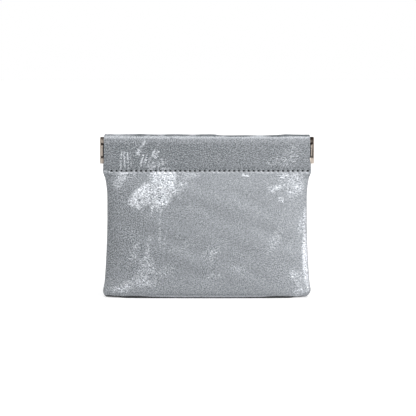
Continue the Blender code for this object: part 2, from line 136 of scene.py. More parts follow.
# Places and depths that follow from the values above
STRIP_BASE = POUCH_HEIGHT - LEATHER - STRIP_TOP_GAP - STRIP_HEIGHT
STRIP_MIDDLE = STRIP_BASE + STRIP_HEIGHT / 2
STITCH_HEIGHT = STRIP_BASE - STITCH_BELOW_STRIP
GROOVE_TOP = STITCH_HEIGHT + GROOVE_HALF_WIDTH
GROOVE_FOOT = STITCH_HEIGHT - GROOVE_HALF_WIDTH
CURL_RADIUS = PIN_RADIUS + PIN_FIT + SHEET / 2
LEAF_NECK = CURL_RADIUS + 2 * LEAF_BEND
PIN_X = FRAME_HALF_WIDTH - CURL_RADIUS - SHEET / 2
BAND_HALF_WIDTH = FRAME_HALF_WIDTH - KNUCKLE_SHOWN
WAIST_HALF_WIDTH = BAND_HALF_WIDTH - WAIST_DRAW
FOOT_HALF_WIDTH = BAND_HALF_WIDTH + FOOT_SPREAD
FLAP_HALF_WIDTH = PIN_X - CURL_RADIUS - SHEET / 2 - FLAP_CLEARANCE
FRAME_ROOM = STRIP_THICKNESS + 2 * SHEET_FIT + 2 * SHEET
FLAP_MID = HALF_GAP + LEATHER / 2
FLAP_STITCHED_MID = FLAP_MID + FLAP_RECESS
LINING_TOP_MID = FLAP_STITCHED_MID + LEATHER / 2 + LINING_FIT + LINING / 2
GROOVE_MID = LINING_TOP_MID + LINING / 2 + LINING_FIT + LEATHER / 2
SHOULDER_MID = GROOVE_MID + 0.35 * MM
STRIP_MID = HALF_GAP + LEATHER + CHANNEL_FIT + FRAME_ROOM / 2
WALL_MID = STRIP_MID + FRAME_ROOM / 2 + CHANNEL_FIT + LEATHER / 2
FOLD_RADIUS = (WALL_MID - FLAP_MID) / 2
SIDE_MID = FLAP_MID + TURN_RADIUS
FOLD_HEIGHT = POUCH_HEIGHT - LEATHER / 2 - FOLD_RADIUS
LINING_EDGE_MID = LINING_THREAD_RADIUS + LINING_FIT
LINING_INSET = LEATHER / 2 + TURN_RADIUS + ALLOWANCE + LINING_CLEARANCE
LINING_HALF_WIDTH = WAIST_HALF_WIDTH - LINING_INSET
LINING_FLOOR = LINING_INSET + LINING / 2
FIRST_HOLE = -STITCH_PITCH * STITCH_COUNT / 2

# Small shapes that only the eye needs
CREST_HEIGHT = 3.0 * MM
CREASE_HEIGHT = 2.0 * MM
CREASE_DEPTH = 0.35 * MM
HOLE_RADIUS = 0.8 * MM
HOLE_DEPTH = 0.7 * MM
HOLE_ALONG = 1.4
HOLE_UP = 0.66
PUCKER_DEPTH = 0.16 * MM
NEEDLE_DIP = 1.9 * MM
BOBBIN_DIP = 0.35 * MM
LINING_FOLD = 0.9 * MM
KNUCKLE_DRAW = 0.4 * MM
LEAF_CARRY = 0.011
FOIL_POWER = 2.5
INSIDE_FOIL = 0.12
BACK_STRAY = 1.6 * MM
# Distance between the two halves in their patterns' own space, so that they don't repeat
HALVES_APART = 0.3
COLUMNS_PER_STITCH = 8
THREAD_STEPS = 16

# Heights of the vertex rows in millimetres above the stitches, on the flap and on the outside
FLAP_ROWS = (-2.0, -1.3, -0.5, 0.0, 0.5, 1.3, 1.9, 2.6, 3.4, 6, 10, 14)
OUTER_ROWS = (
    *np.arange(14.4, 2.3, -0.85),
    1.9, 1.5, 1.2, 0.95, 0.72, 0.52, 0.34, 0.17, 0.0, -0.17, -0.34, -0.52, -0.72, -0.9,
)
FOLD_ROWS = 19
FOLD_SHOWN_FROM = 0.3

# Soft waves of the filled leather: length across, length up, phase and height, in millimetres
WAVES = (
    (31, 12, 0.4, 0.16), (47, -29, 1.9, 0.20), (23, 35, 3.1, 0.12),
    (17, -21, 0.9, 0.09), (61, 17, 2.6, 0.22), (14, 9, 5.0, 0.06),
)

# Where the foil is left on the front: across, up, half length, half width, turn, strength.
# Millimetres and degrees. The shine lists lighten the tone: the first front one is a painted highlight down
# the right edge, the others lie where the foil is still a whole film.
FRONT_FOIL = (
    (-22.6, 57.8, 7.4, 7.6, 0, 0.92), (-34.6, 53.0, 7.4, 3.5, 47, 0.90), (-24.2, 49.8, 5.6, 3.2, 15, 0.74),
    (-31.4, 55.6, 4.6, 3.0, 52, 0.82), (-31.2, 50.4, 3.4, 2.4, 10, 0.66), (-34.4, 46.9, 2.6, 1.1, -25, 0.60),
    (-28.2, 45.2, 3.0, 0.6, 90, 0.58), (-25.5, 45.8, 2.0, 0.6, 90, 0.60), (-22.9, 45.9, 2.0, 0.6, 75, 0.60),
    (-22.5, 63.6, 7.6, 2.4, 0, 0.84), (-13.6, 56.5, 7.5, 2.2, 84, 0.36), (-8.5, 63.0, 6.0, 2.0, 4, 0.50),
    (-10.5, 59.0, 3.0, 2.4, 30, 0.36), (-45.0, 60.3, 5.5, 3.2, 62, 0.56), (-41.0, 63.0, 5.0, 2.0, 0, 0.40),
    (-33.4, 78.7, 3.4, 0.8, 50, 0.95), (-35.0, 75.3, 2.2, 1.5, 60, 0.66), (-44.0, 70.8, 6.2, 0.6, 87, 0.74),
    (-42.2, 71.8, 5.6, 0.6, 92, 0.72), (-40.6, 70.4, 5.8, 0.6, 90, 0.70), (-39.2, 71.2, 4.4, 0.5, 94, 0.62),
    (-27.5, 74.7, 2.8, 0.8, 66, 0.82), (-25.6, 75.0, 2.4, 0.8, 50, 0.82), (-26.2, 72.8, 1.8, 0.7, 20, 0.74),
    (-33.4, 71.2, 4.0, 0.7, 78, 0.80), (-31.3, 71.6, 3.6, 0.7, 72, 0.76), (-29.7, 70.4, 2.8, 0.6, 70, 0.64),
    (-25.5, 69.3, 6.5, 2.8, 22, 0.50), (-27.8, 67.5, 1.8, 0.7, 60, 0.75), (-21.0, 66.9, 3.0, 0.9, 5, 0.64),
    (43.5, 60.2, 7.6, 5.4, 10, 0.44), (34.5, 56.7, 4.4, 1.7, 12, 0.58), (38.0, 51.0, 2.6, 1.6, -35, 0.60),
    (38.5, 62.9, 3.4, 1.2, 0, 0.50), (46.5, 63.1, 3.8, 1.1, 0, 0.52), (50.3, 44.5, 3.0, 1.4, 90, 0.56),
    (44.5, 54.2, 5.5, 2.6, 20, 0.38), (18.5, 63.3, 1.5, 0.9, 10, 0.56), (20.8, 62.9, 1.4, 0.8, -30, 0.56),
    (43.0, 73.0, 9.0, 6.0, 60, 0.42), (33.0, 70.0, 4.0, 2.4, 40, 0.40), (50.2, 22.6, 11.8, 1.9, 92, 0.82),
    (51.7, 9.4, 4.2, 1.6, 92, 0.74), (52.0, 4.9, 2.0, 1.2, 65, 0.64), (47.5, 3.2, 4.2, 2.2, 15, 0.42),
    (44.0, 12.5, 3.6, 2.4, 80, 0.46), (50.8, 36.5, 12.0, 1.6, 90, 0.58), (48.6, 38.0, 6.0, 2.4, 78, 0.44),
    (47.6, 8.0, 7.0, 3.6, 75, 0.40), (-31.5, 16.0, 8.0, 5.0, 62, 0.46), (-22.0, 14.5, 7.0, 4.0, 30, 0.38),
    (-30.0, 27.0, 7.0, 1.6, 78, 0.44), (-37.0, 24.0, 7.0, 3.0, 70, 0.38), (-35.0, 8.0, 12.0, 3.0, 3, 0.47),
    (-45.5, 4.5, 6.0, 2.2, 0, 0.46), (2.0, 24.0, 7.0, 5.0, 50, 0.36), (4.0, 12.0, 6.5, 2.4, 5, 0.40),
    (-8.0, 30.0, 8.0, 3.0, 35, 0.34), (16.0, 16.0, 6.0, 3.0, 20, 0.31), (-24.0, 36.0, 12.0, 0.8, 90, 0.44),
    (-21.5, 31.0, 8.0, 0.8, 84, 0.36), (34.0, 30.0, 10.0, 3.0, 60, 0.34),
)
# The first front shine patch is a painted highlight down the right edge
FRONT_SHINE = ((50.4, 22.0, 10.6, 1.3, 92, 0.62), (-36.2, 53.4, 5.5, 2.4, 50, 0.45))
BACK_FOIL = (
    (19.0, 51.5, 8.5, 4.6, -38, 0.86), (26.5, 57.0, 6.0, 3.4, -20, 0.80), (14.0, 45.8, 4.5, 2.0, -55, 0.70),
    (24.5, 47.0, 2.4, 1.0, 80, 0.58), (33.5, 60.5, 4.0, 1.5, 10, 0.60), (31.0, 51.5, 5.0, 1.2, 75, 0.44),
    (-40.5, 33.0, 9.0, 2.4, 74, 0.74), (-37.0, 25.5, 5.0, 2.2, 62, 0.62), (-44.0, 42.0, 5.0, 1.2, 84, 0.50),
    (-30.5, 76.0, 4.2, 0.8, 38, 0.74), (-26.5, 72.5, 3.0, 2.0, 60, 0.54), (-21.0, 70.0, 5.0, 2.4, 15, 0.46),
    (9.0, 76.5, 6.5, 1.2, -14, 0.50), (38.0, 71.5, 6.0, 3.0, 70, 0.44), (-13.0, 12.0, 10.0, 3.4, 22, 0.54),
    (-20.5, 17.5, 5.0, 2.0, 50, 0.46), (-2.0, 8.0, 8.0, 1.8, 4, 0.44), (43.0, 13.5, 6.0, 3.6, 64, 0.64),
    (38.5, 21.0, 5.5, 1.8, 78, 0.52), (-45.5, 58.5, 4.6, 2.4, 56, 0.62), (-39.0, 61.5, 4.5, 1.4, 8, 0.48),
    (-4.0, 38.0, 12.0, 0.9, 86, 0.42), (-6.8, 33.0, 7.0, 0.8, 82, 0.36), (8.0, 28.0, 8.0, 4.0, 40, 0.36),
)
BACK_SHINE = ((21.5, 53.0, 6.0, 2.2, -36, 0.35), (-40.0, 30.5, 6.0, 1.2, 72, 0.35))

# Studio. Each lamp has a direction towards it, a share of full white and a spread in degrees
FLOOR_SIZE = 6.0
FLOOR_GLOW = 0.41
SKY_STRENGTH = 0.30
LAMPS = (
    ("key_from_right", (0.74, -0.58, 0.34), 0.62, 40.0),
    ("fill_from_front", (-0.10, -0.80, 0.60), 0.17, 70.0),
    ("light_from_above", (0.05, -0.20, 0.98), 0.34, 50.0),
    ("fill_from_behind", (-0.45, 0.80, 0.35), 0.30, 70.0),
)
CAMERA_ELEVATION = math.radians(5.5)
CAMERA_DISTANCE = 1.1
CAMERA_AIM = (0.5 * MM, 0.0, 46.2 * MM)
PICTURE_WIDTH = 214.2 * MM
SENSOR_WIDTH = 36.0


def smooth_share(value, low, high):
    """A share that goes smoothly from 0 at low to 1 at high."""
    share = np.clip((value - low) / (high - low), 0.0, 1.0)
    return share * share * (3.0 - 2.0 * share)


def hump(value, middle, half_width):
    """A smooth hump, 1 at its middle."""
    return np.exp(-((value - middle) / half_width) ** 2)


# Making meshes


def select_only(piece):
    """Make a piece the active one and the only one selected."""
    bpy.ops.object.select_all(action="DESELECT")
    piece.select_set(True)
    bpy.context.view_layer.objects.active = piece


def mark(mesh, vertices, edges, faces):
    """Select just these vertices, edges and faces of a mesh."""
    for parts, chosen in ((mesh.vertices, vertices), (mesh.edges, edges), (mesh.polygons, faces)):
        parts.foreach_set("select", chosen)


def sheet_piece(name, points):
    """An open sheet from a primitive grid, its vertices moved to rows of points."""
    bpy.ops.object.select_all(action="DESELECT")
    bpy.ops.mesh.primitive_grid_add(
        x_subdivisions=points.shape[1] - 1, y_subdivisions=points.shape[0] - 1,
        size=1.0, calc_uvs=False, location=(0.0, 0.0, 0.0),
    )
    piece = bpy.context.object
    piece.name = piece.data.name = name
    place_vertices(piece, points)
    return piece


def tube_piece(name, rings, kept=None):
    """A closed tube from a primitive grid rolled round rings of points, with capped ends."""
    piece = sheet_piece(name, np.concatenate([rings, rings[:, :1]], axis=1))
    for value, found in (kept or {}).items():
        keep_values(piece, value, np.concatenate([found, found[:, :1]], axis=1), 3)
    bpy.ops.object.mode_set(mode="EDIT")
    bpy.ops.mesh.select_mode(type="VERT")
    bpy.ops.mesh.select_all(action="SELECT")
    bpy.ops.mesh.remove_doubles(threshold=0.001 * MM)
    bpy.ops.mesh.select_all(action="DESELECT")
    bpy.ops.mesh.select_mode(type="EDGE")
    bpy.ops.mesh.select_non_manifold(extend=False)
    bpy.ops.mesh.edge_face_add()
    bpy.ops.mesh.select_all(action="SELECT")
    bpy.ops.mesh.normals_make_consistent(inside=False)
    bpy.ops.object.mode_set(mode="OBJECT")
    return piece


def apply_modifier(piece, kind, **settings):
    """Add a modifier with its settings and apply it."""
    modifier = piece.modifiers.new(kind.lower(), kind)
    for setting, value in settings.items():
        setattr(modifier, setting, value)
    select_only(piece)
    bpy.ops.object.modifier_apply(modifier=modifier.name)


def smooth_shade(piece, degrees):
    """Smooth shading with sharp edges past an angle."""
    select_only(piece)
    bpy.ops.object.shade_smooth_by_angle(angle=math.radians(degrees))


def keep_values(piece, name, values, size=1):
    """Store one number, or a vector of three, for each vertex."""
    kind, field = ("FLOAT", "value") if size == 1 else ("FLOAT_VECTOR", "vector")
    attribute = piece.data.attributes.get(name)
    if attribute is None:
        attribute = piece.data.attributes.new(name, kind, "POINT")
    attribute.data.foreach_set(field, np.asarray(values, np.float32).ravel())


def kept_values(piece, name, size=1):
    """Read back what keep_values stored."""
    found = np.zeros(len(piece.data.vertices) * size, np.float32)
    piece.data.attributes[name].data.foreach_get("value" if size == 1 else "vector", found)
    return found if size == 1 else found.reshape(-1, size)


def vertex_places(piece):
    """Every vertex's place."""
    places = np.zeros(len(piece.data.vertices) * 3, np.float32)
    piece.data.vertices.foreach_get("co", places)
    return places.reshape(-1, 3)


def place_vertices(piece, places):
    """Move every vertex to its place."""
    piece.data.vertices.foreach_set("co", places.astype(np.float32).ravel())
    piece.data.update()


def run_along(points):
    """Length walked from the first point to each point of a path."""
    return np.append(0.0, np.cumsum(np.linalg.norm(np.diff(points, axis=0), axis=1)))


# Opening shares of the mouth


def bowed_share(across):
    """How far a spring has bowed at a share of its half length, 1 at the middle."""
    t = 1.0 - np.clip(np.abs(across), 0.0, 1.0) / 2
    return 2.0 * (t * t * (3.0 - 2.0 * t)) - 1.0


def opens_share(across, height):
    """How far the bag wall has turned outwards: nothing at the seams and at the foot."""
    return bowed_share(across) * smooth_share(height, 0.0, 30 * MM)


def open_with_mouth(piece, face):
    """Work out from the piece's own opening shares the moment of each point for a bend between the halves;
    the points end where they were.

    A share of 0 stays with the pins and 1 goes all the way with its half. The blend
    makes a smooth step of a point's place on a line, so each point is put for the
    moment where that step gives its weight.
    """
    share = kept_values(piece, "opens").astype(float)
    weight = 0.5 - face * share / 2
    places = vertex_places(piece)
    moment = np.zeros_like(places)
    moment[:, 0] = 0.5 - np.sin(np.arcsin(np.clip(1.0 - 2.0 * weight, -1.0, 1.0)) / 3)
    place_vertices(piece, moment)
    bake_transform(piece)
    place_vertices(piece, places)


# Shape of the leather


def outline_half_width(height):
    """Half width of the pouch at a height, as the front view shows it."""
    neck = np.clip((height - STITCH_HEIGHT) / NECK_DROP + 1.0, 0.0, 1.0)
    foot = np.maximum((WAIST_HEIGHT - height) / WAIST_HEIGHT, 0.0)
    width = WAIST_HALF_WIDTH + (BAND_HALF_WIDTH - WAIST_HALF_WIDTH) * neck ** 2
    return width + (FOOT_HALF_WIDTH - WAIST_HALF_WIDTH) * foot ** FOOT_POWER


def seam_half_width(height):
    """Half width to the middle of the leather, with the round bottom corner."""
    radius = CORNER_RADIUS - LEATHER / 2
    below = np.clip(LEATHER / 2 + radius - height, 0.0, radius)
    return outline_half_width(height) - LEATHER / 2 - radius + np.sqrt(radius ** 2 - below ** 2)


def curve_through(controls, steps):
    """Points of a smooth curve through the control points, with a step count for each gap."""
    controls = np.array(controls, float)
    points = []
    last = len(controls) - 1
    for index, count in enumerate(steps):
        before = controls[max(index - 1, 0)]
        start = controls[index]
        end = controls[index + 1]
        after = controls[min(index + 2, last)]
        for t in np.arange(count) / count:
            bend = (2 * before - 5 * start + 4 * end - after) * t ** 2
            bend += (3 * start - before - 3 * end + after) * t ** 3
            points.append((2 * start + (end - before) * t + bend) / 2)
    points.append(controls[last])
    return np.array(points)


def body_profile():
    """Depth and height of the leather's middle down the centre of one half."""
    bulge = BULGE_DEPTH - LEATHER / 2
    controls = [(SHOULDER_MID, GROOVE_FOOT)]
    controls += [(bulge * depth, STITCH_HEIGHT * height) for depth, height in BODY_SHARES]
    controls.append((FOOT_DEPTH - LEATHER / 2, LEATHER / 2))
    profile = curve_through(controls, BODY_STEPS)
    foot = np.linspace(FOOT_DEPTH - LEATHER / 2, SIDE_MID, 6)[1:]
    floor = np.full(len(foot), LEATHER / 2)
    return np.concatenate([profile, np.stack([foot, floor], axis=1)])


def edge_heights(profile):
    """Heights of the profile's rows at the side seams, low rows climbing the corner."""
    steps = np.linalg.norm(np.diff(profile, axis=0), axis=1)
    lengths = np.append(np.cumsum(steps[::-1])[::-1], 0.0)
    corner = LEATHER / 2 + (CORNER_RADIUS - LEATHER / 2) * (1.0 - math.sqrt(0.5))
    join = int(np.max(np.nonzero(lengths >= CORNER_SPREAD)))
    climb = corner + (profile[join, 1] - corner) * lengths / lengths[join]
    return np.where(np.arange(len(profile)) < join, profile[:, 1], climb)


def panel_rows():
    """Rows of one leather half, from the flap's hem over the fold to the bottom seam.

    Each row is centre depth, centre height, edge depth, edge height, half width and
    whether it shows on the outside.
    """
    rows = []
    for above in FLAP_ROWS:
        height = STITCH_HEIGHT + above * MM
        pinched = smooth_share(height, GROOVE_TOP, STITCH_HEIGHT + PINCH_HEIGHT)
        depth = FLAP_STITCHED_MID + (FLAP_MID - FLAP_STITCHED_MID) * pinched
        rows.append((depth, height, depth, height, FLAP_HALF_WIDTH, 0))
    for share in np.linspace(0.0, 1.0, FOLD_ROWS):
        depth = FLAP_MID + FOLD_RADIUS * (1.0 - math.cos(math.pi * share))
        drop = FOLD_RADIUS if share < 0.5 else CREST_HEIGHT
        height = FOLD_HEIGHT + FOLD_RADIUS - drop * (1.0 - math.sin(math.pi * share))
        widened = 1.0 - (1.0 - share) ** 3
        width = FLAP_HALF_WIDTH + (BAND_HALF_WIDTH - FLAP_HALF_WIDTH) * widened
        rows.append((depth, height, depth, height, width, int(share > FOLD_SHOWN_FROM)))
    for above in OUTER_ROWS:
        height = STITCH_HEIGHT + above * MM
        if above > GROOVE_HALF_WIDTH / MM:
            share = smooth_share(height, GROOVE_TOP, STITCH_HEIGHT + PINCH_HEIGHT)
            depth = SHOULDER_MID + (WALL_MID - SHOULDER_MID) * share
        else:
            depth = SHOULDER_MID - GROOVE_DEPTH * math.cos(math.pi / 2 * above * MM / GROOVE_HALF_WIDTH) ** 2
        rows.append((depth, height, depth, height, BAND_HALF_WIDTH, 1))
    profile = body_profile()
    edges = edge_heights(profile)
    share = smooth_share(edges, GROOVE_FOOT - ALLOWANCE_DROP, GROOVE_FOOT)
    edge_depths = SIDE_MID + (SHOULDER_MID - SIDE_MID) * share
    widths = seam_half_width(edges) + LEATHER / 2 * share
    body = np.column_stack([profile, edge_depths, edges, widths, np.ones(len(edges))])
    rows = np.concatenate([np.array(rows, float), body[1:]])
    beside = smooth_share(rows[:, 1], STRIP_BASE - 0.6 * MM, STRIP_BASE + 0.6 * MM) * rows[:, 5]
    rows[:, 4] -= KNUCKLE_DRAW * beside
    return rows


def panel_columns():
    """Across shares of the columns, so that every needle hole falls on one."""
    steps = COLUMNS_PER_STITCH * STITCH_COUNT
    inner = (FIRST_HOLE + np.arange(steps + 1) * STITCH_PITCH / COLUMNS_PER_STITCH) / BAND_HALF_WIDTH
    outer = inner[-1] + (1.0 - inner[-1]) * np.array((0.3, 0.55, 0.75, 0.9, 0.97, 1.0))
    return np.concatenate([-outer[::-1], inner, outer])


def lofted(rows, across):
    """Across, depth and height of a half, row by row, with its pillowed section."""
    depth_share = np.sqrt(np.clip(1.0 - np.abs(across) ** PILLOW_POWER, 0.0, 1.0))
    lift = np.maximum((np.abs(across) - LIFT_START_SHARE) / (1.0 - LIFT_START_SHARE), 0.0) ** 2
    depth = rows[:, 2:3] + (rows[:, 0:1] - rows[:, 2:3]) * depth_share[None, :]
    height = rows[:, 1:2] + (rows[:, 3:4] - rows[:, 1:2]) * lift[None, :]
    return rows[:, 4:5] * across[None, :], depth, height


def from_hole(across, height):
    """How far along and above the nearest needle hole of the channel seam a place is."""
    stitch = (across - FIRST_HOLE) / STITCH_PITCH
    along = (stitch - np.clip(np.round(stitch), FIRST_STITCH, STITCH_COUNT)) * STITCH_PITCH
    return along, height - STITCH_HEIGHT


def soft_waves(across, height, face):
    """The slight unevenness of filled leather, a sum of long slanting waves."""
    total = np.zeros(np.broadcast(across, height).shape)
    for length_x, length_z, phase, size in WAVES:
        turn = 2 * math.pi * (across / (length_x * MM) + height / (length_z * MM))
        total += size * MM * np.sin(turn + phase + face)
    return total


def uneven_half(rows, across, outside, face):
    """Across, depth and height of a leather half, with waves, puckers, crease and corners."""
    x, depth, height = lofted(rows, across)
    height = height + 0 * x
    room = smooth_share(height, 2 * MM, 14 * MM) * (1.0 - smooth_share(height, 56 * MM, 64 * MM))
    room = room * (1.0 - np.abs(across[None, :]) ** 6)
    depth = depth + np.where(outside, soft_waves(x, height, face) * room, 0.0)
    along, up = from_hole(x, height)
    pucker = np.cos(2 * math.pi * along / STITCH_PITCH) * hump(up, 0.0, 1.3 * MM) * PUCKER_DEPTH
    depth = depth - np.where(outside, pucker, 0.0)
    crease = hump(height, CREASE_HEIGHT, 0.45 * MM) * CREASE_DEPTH
    crease = crease * (0.65 + 0.35 * np.sin(x / (4.7 * MM) + face)) * (1.0 - np.abs(across[None, :]) ** 8)
    depth = depth - np.where(outside, crease, 0.0)
    # The top edge is a little wavy and low right of the middle, and the back's is higher on the left
    ripple = 0.08 * np.sin(x / (6.3 * MM) + 1.7 * face) + 0.06 * np.sin(x / (2.9 * MM) + face)
    ripple = ripple - 0.35 * smooth_share(x, 2 * MM, 8 * MM) * (1.0 - smooth_share(x, 36 * MM, 41 * MM))
    ripple = ripple + 0.15 * max(face, 0) * (1.0 - smooth_share(x, -16 * MM, -6 * MM))
    height = height + ripple * MM * smooth_share(height, STRIP_BASE + STRIP_HEIGHT - 3 * MM, POUCH_HEIGHT)
    # The lower corners flare out, and are cut in more on the right at the very foot
    beside = smooth_share(np.abs(x), 40 * MM, 53 * MM)
    flare = np.where(x > 0, 0.45, 0.55) * beside * hump(height, 3.2 * MM, 3.2 * MM)
    cut_in = np.where(x > 0, 2.8, 1.2) * beside * np.clip(1.0 - height / (5 * MM), 0.0, 1.0) ** 2
    return x + np.sign(x) * (flare - cut_in) * MM, depth, height


# Wear of the leather


def in_band(height):
    """1 in the band above the stitches, 0 on the body."""
    return smooth_share(height, STITCH_HEIGHT - 0.5 * MM, STITCH_HEIGHT + 0.5 * MM)


def foil_cover(across, height, patches):
    """How much foil is left at a place, from 0 for rubbed bare to 1."""
    bare = np.ones(np.broadcast(across, height).shape)
    for x, z, length, width, turn, strength in patches:
        c, s = math.cos(math.radians(turn)), math.sin(math.radians(turn))
        dx, dz = across - x * MM, height - z * MM
        along, beside = (dx * c + dz * s) / (length * MM), (dz * c - dx * s) / (width * MM)
        reach = (np.abs(along) ** FOIL_POWER + np.abs(beside) ** FOIL_POWER) ** (1 / FOIL_POWER)
        bare = bare * (1.0 - strength * smooth_share(1.3 - reach, 0.0, 0.8))
    return 1.0 - bare


def leather_tone(across, height, depth, outside, face, shine):
    """Broad painted light and shade on the leather, and its lighter whole foil, below 0 for darker than the
    rest.
    """
    # Painted highlight on the crest and just below it, and painted light growing towards the right and low
    # down, most low on the left; the band above the stitches is darker
    crest = smooth_share(height, POUCH_HEIGHT - 2.3 * MM, POUCH_HEIGHT - 1.2 * MM)
    high = smooth_share(height, POUCH_HEIGHT - 5.5 * MM, POUCH_HEIGHT - 3 * MM)
    low = 1.0 - smooth_share(height, 6 * MM, 16 * MM)
    right = smooth_share(-face * across, -52 * MM, 52 * MM)
    tone = -0.45 * in_band(height) + 1.5 * crest + 0.45 * high + 0.4 * right - 0.2
    # The shine patches add a painted highlight down the right edge and lighten whole foil
    tone = tone + low * (0.4 - 0.25 * right) + 1.7 * foil_cover(across, height, shine)
    # Painted highlights on the lower rims of the needle holes, where the puckers catch the light, and a
    # painted lighter line along them
    along, up = from_hole(across, height)
    rim_highlight = hump(up, -1.0 * MM, 0.35 * MM) * hump(along, 0.0, 1.05 * MM)
    tone = tone + 2.4 * rim_highlight * (0.65 + 0.35 * np.sin(across / (3.7 * MM)))
    tone = tone + 0.7 * hump(up, -0.1 * MM, 0.5 * MM)
    # Painted shade in the crease above the foot and a painted highlight on the lip below it, broken and faint
    # at the sides
    broken = 0.75 + 0.25 * np.sin(across / (2.6 * MM)) * np.sin(across / (9 * MM) + 1.0)
    broken = broken * (1.0 - 0.9 * smooth_share(np.abs(across), 24 * MM, 40 * MM))
    tone = tone - 1.5 * hump(height, 1.05 * CREASE_HEIGHT, 0.27 * MM) * broken
    tone = tone + 1.3 * hump(height, 0.66 * CREASE_HEIGHT, 0.5 * MM) * broken
    # Painted shadow of the gap between the halves on the inner side of the fold, behind the painted highlight
    # on the crest, less in places
    gappy = 0.72 + 0.28 * np.sin(across / (1.7 * MM)) * np.sin(across / (4.3 * MM))
    gappy = gappy * (1.0 - 0.4 * smooth_share(-across, 34 * MM, 40 * MM))
    gappy = gappy + (1.0 - gappy) * smooth_share(across, 8 * MM, 16 * MM)
    gappy = gappy * (1.0 - 0.8 * hump(across, 27 * MM, 5 * MM))
    turned = 1.0 - smooth_share(depth, FLAP_MID + 1.4 * FOLD_RADIUS, FLAP_MID + 1.6 * FOLD_RADIUS)
    tone = tone - (tone + 2.0) * gappy * turned * crest
    # Faces turned inside are darker, with painted shade of the gap near the top of the fold
    return np.where(outside, tone, -0.5 - 1.2 * crest)


def speckled_share(across, height, face):
    """How rough the nap is: most at the left seen from outside, then in the band and low down."""
    side = smooth_share(face * across, 6 * MM, 46 * MM)
    low = 1.0 - smooth_share(height, 8 * MM, 30 * MM)
    return 0.5 + 0.4 * side + 0.22 * in_band(height) * (1.0 - side) + 0.2 * low * (1.0 - side)


def leather_panel(name, face, patches, shine, finishes):
    """One leather half: channel, body and the seam allowance turned inside."""
    rows = panel_rows()
    across = panel_columns()
    outside = rows[:, 5:6] > 0.5
    x, depth, height = uneven_half(rows, across, outside, face)
    run = run_along(rows[:, :2])[:, None] + 0 * x
    steps = np.hypot(np.diff(x, axis=1), np.diff(depth, axis=1))
    walked = np.concatenate([0 * x[:, :1], np.cumsum(steps, axis=1)], axis=1)
    walked = walked - walked[:, len(across) // 2][:, None]
    # The back's patches are read from places that stray, which makes their edges wander
    stray = BACK_STRAY * max(face, 0)
    stray_x = np.sin(height / (2.1 * MM) + x / (4.6 * MM)) + np.sin(x / (1.9 * MM) - height / (3.7 * MM))
    stray_z = np.sin(x / (2.4 * MM) + height / (5.2 * MM)) + np.sin(height / (1.7 * MM) - x / (3.3 * MM))
    foil = foil_cover(x + stray * stray_x, height + stray * stray_z, patches)
    tone = leather_tone(x, height, depth, outside, face, shine)
    rubbed_edge = smooth_share(np.abs(across[None, :]), 0.990, 0.9985) * outside
    opens = opens_share(across[None, :] + 0 * height, height)
    at_seam = (rows[:, 3] < STITCH_HEIGHT) & outside[:, 0] & (rows[:, 2] <= SIDE_MID + 1e-9)
    first = int(np.min(np.nonzero(at_seam)))
    seam = np.zeros(x.shape, bool)
    seam[first:, 0] = seam[first:, -1] = True
    seam[-1, :] = True
    # Columns run the other way on the front, so that its faces point outwards as well
    panel = sheet_piece(name, np.stack([x, face * depth, height], axis=2)[:, ::face])
    place = np.stack([walked, run, np.full(x.shape, HALVES_APART * face)], axis=2)
    keep_values(panel, "hide_place", place[:, ::face], 3)
    # The tone carries painted light and shade, and the lighter whole foil
    for value, found in (
        ("foil", np.where(outside, foil, INSIDE_FOIL) * (1.0 - rubbed_edge)),
        ("tone", tone - rubbed_edge * np.maximum(tone, 0.0)),
        ("speckled", speckled_share(x, height, face)),
        ("opens", opens),
    ):
        keep_values(panel, value, found[:, ::face])
    turn_in_seam(panel, seam[:, ::face].ravel(), face, rows[first, 3])
    for finish in finishes:
        panel.data.materials.append(finish)
    apply_modifier(
        panel, "SOLIDIFY", thickness=LEATHER, offset=0.0, use_even_offset=True,
        material_offset=1, material_offset_rim=1,
    )
    sink_needle_holes(panel, face)
    smooth_shade(panel, 50)
    return panel


def sink_needle_holes(panel, face):
    """Press the holes of the channel seam into the outer face, and mark where shade is painted.

    Painted dark are the shade in the holes and a contact shadow along the edge that the pouch stands on.
    """
    places = vertex_places(panel)
    along, up = from_hole(places[:, 0], places[:, 2])
    outer = face * places[:, 1] > GROOVE_MID + 0.1 * MM
    hole = np.clip(1.0 - np.hypot(along / HOLE_ALONG, up / HOLE_UP) / HOLE_RADIUS, 0.0, 1.0) * outer
    # Painted contact shadow along the foot, taller away from the middle but not at the far right
    right = -face * places[:, 0]
    foot_shadow_reach = smooth_share(np.abs(right), 16 * MM, 38 * MM) * (1.0 - smooth_share(right, 43 * MM, 47 * MM))
    edge = (0.62 + 0.55 * foot_shadow_reach) * MM
    foot_shadow = (0.37 + 0.03 * foot_shadow_reach) * (1.0 - smooth_share(places[:, 2], edge, edge + 0.35 * MM))
    places[:, 1] -= face * HOLE_DEPTH * smooth_share(hole, 0.0, 0.7)
    place_vertices(panel, places)
    keep_values(panel, "painted_dark_place", np.maximum(hole, foot_shadow))


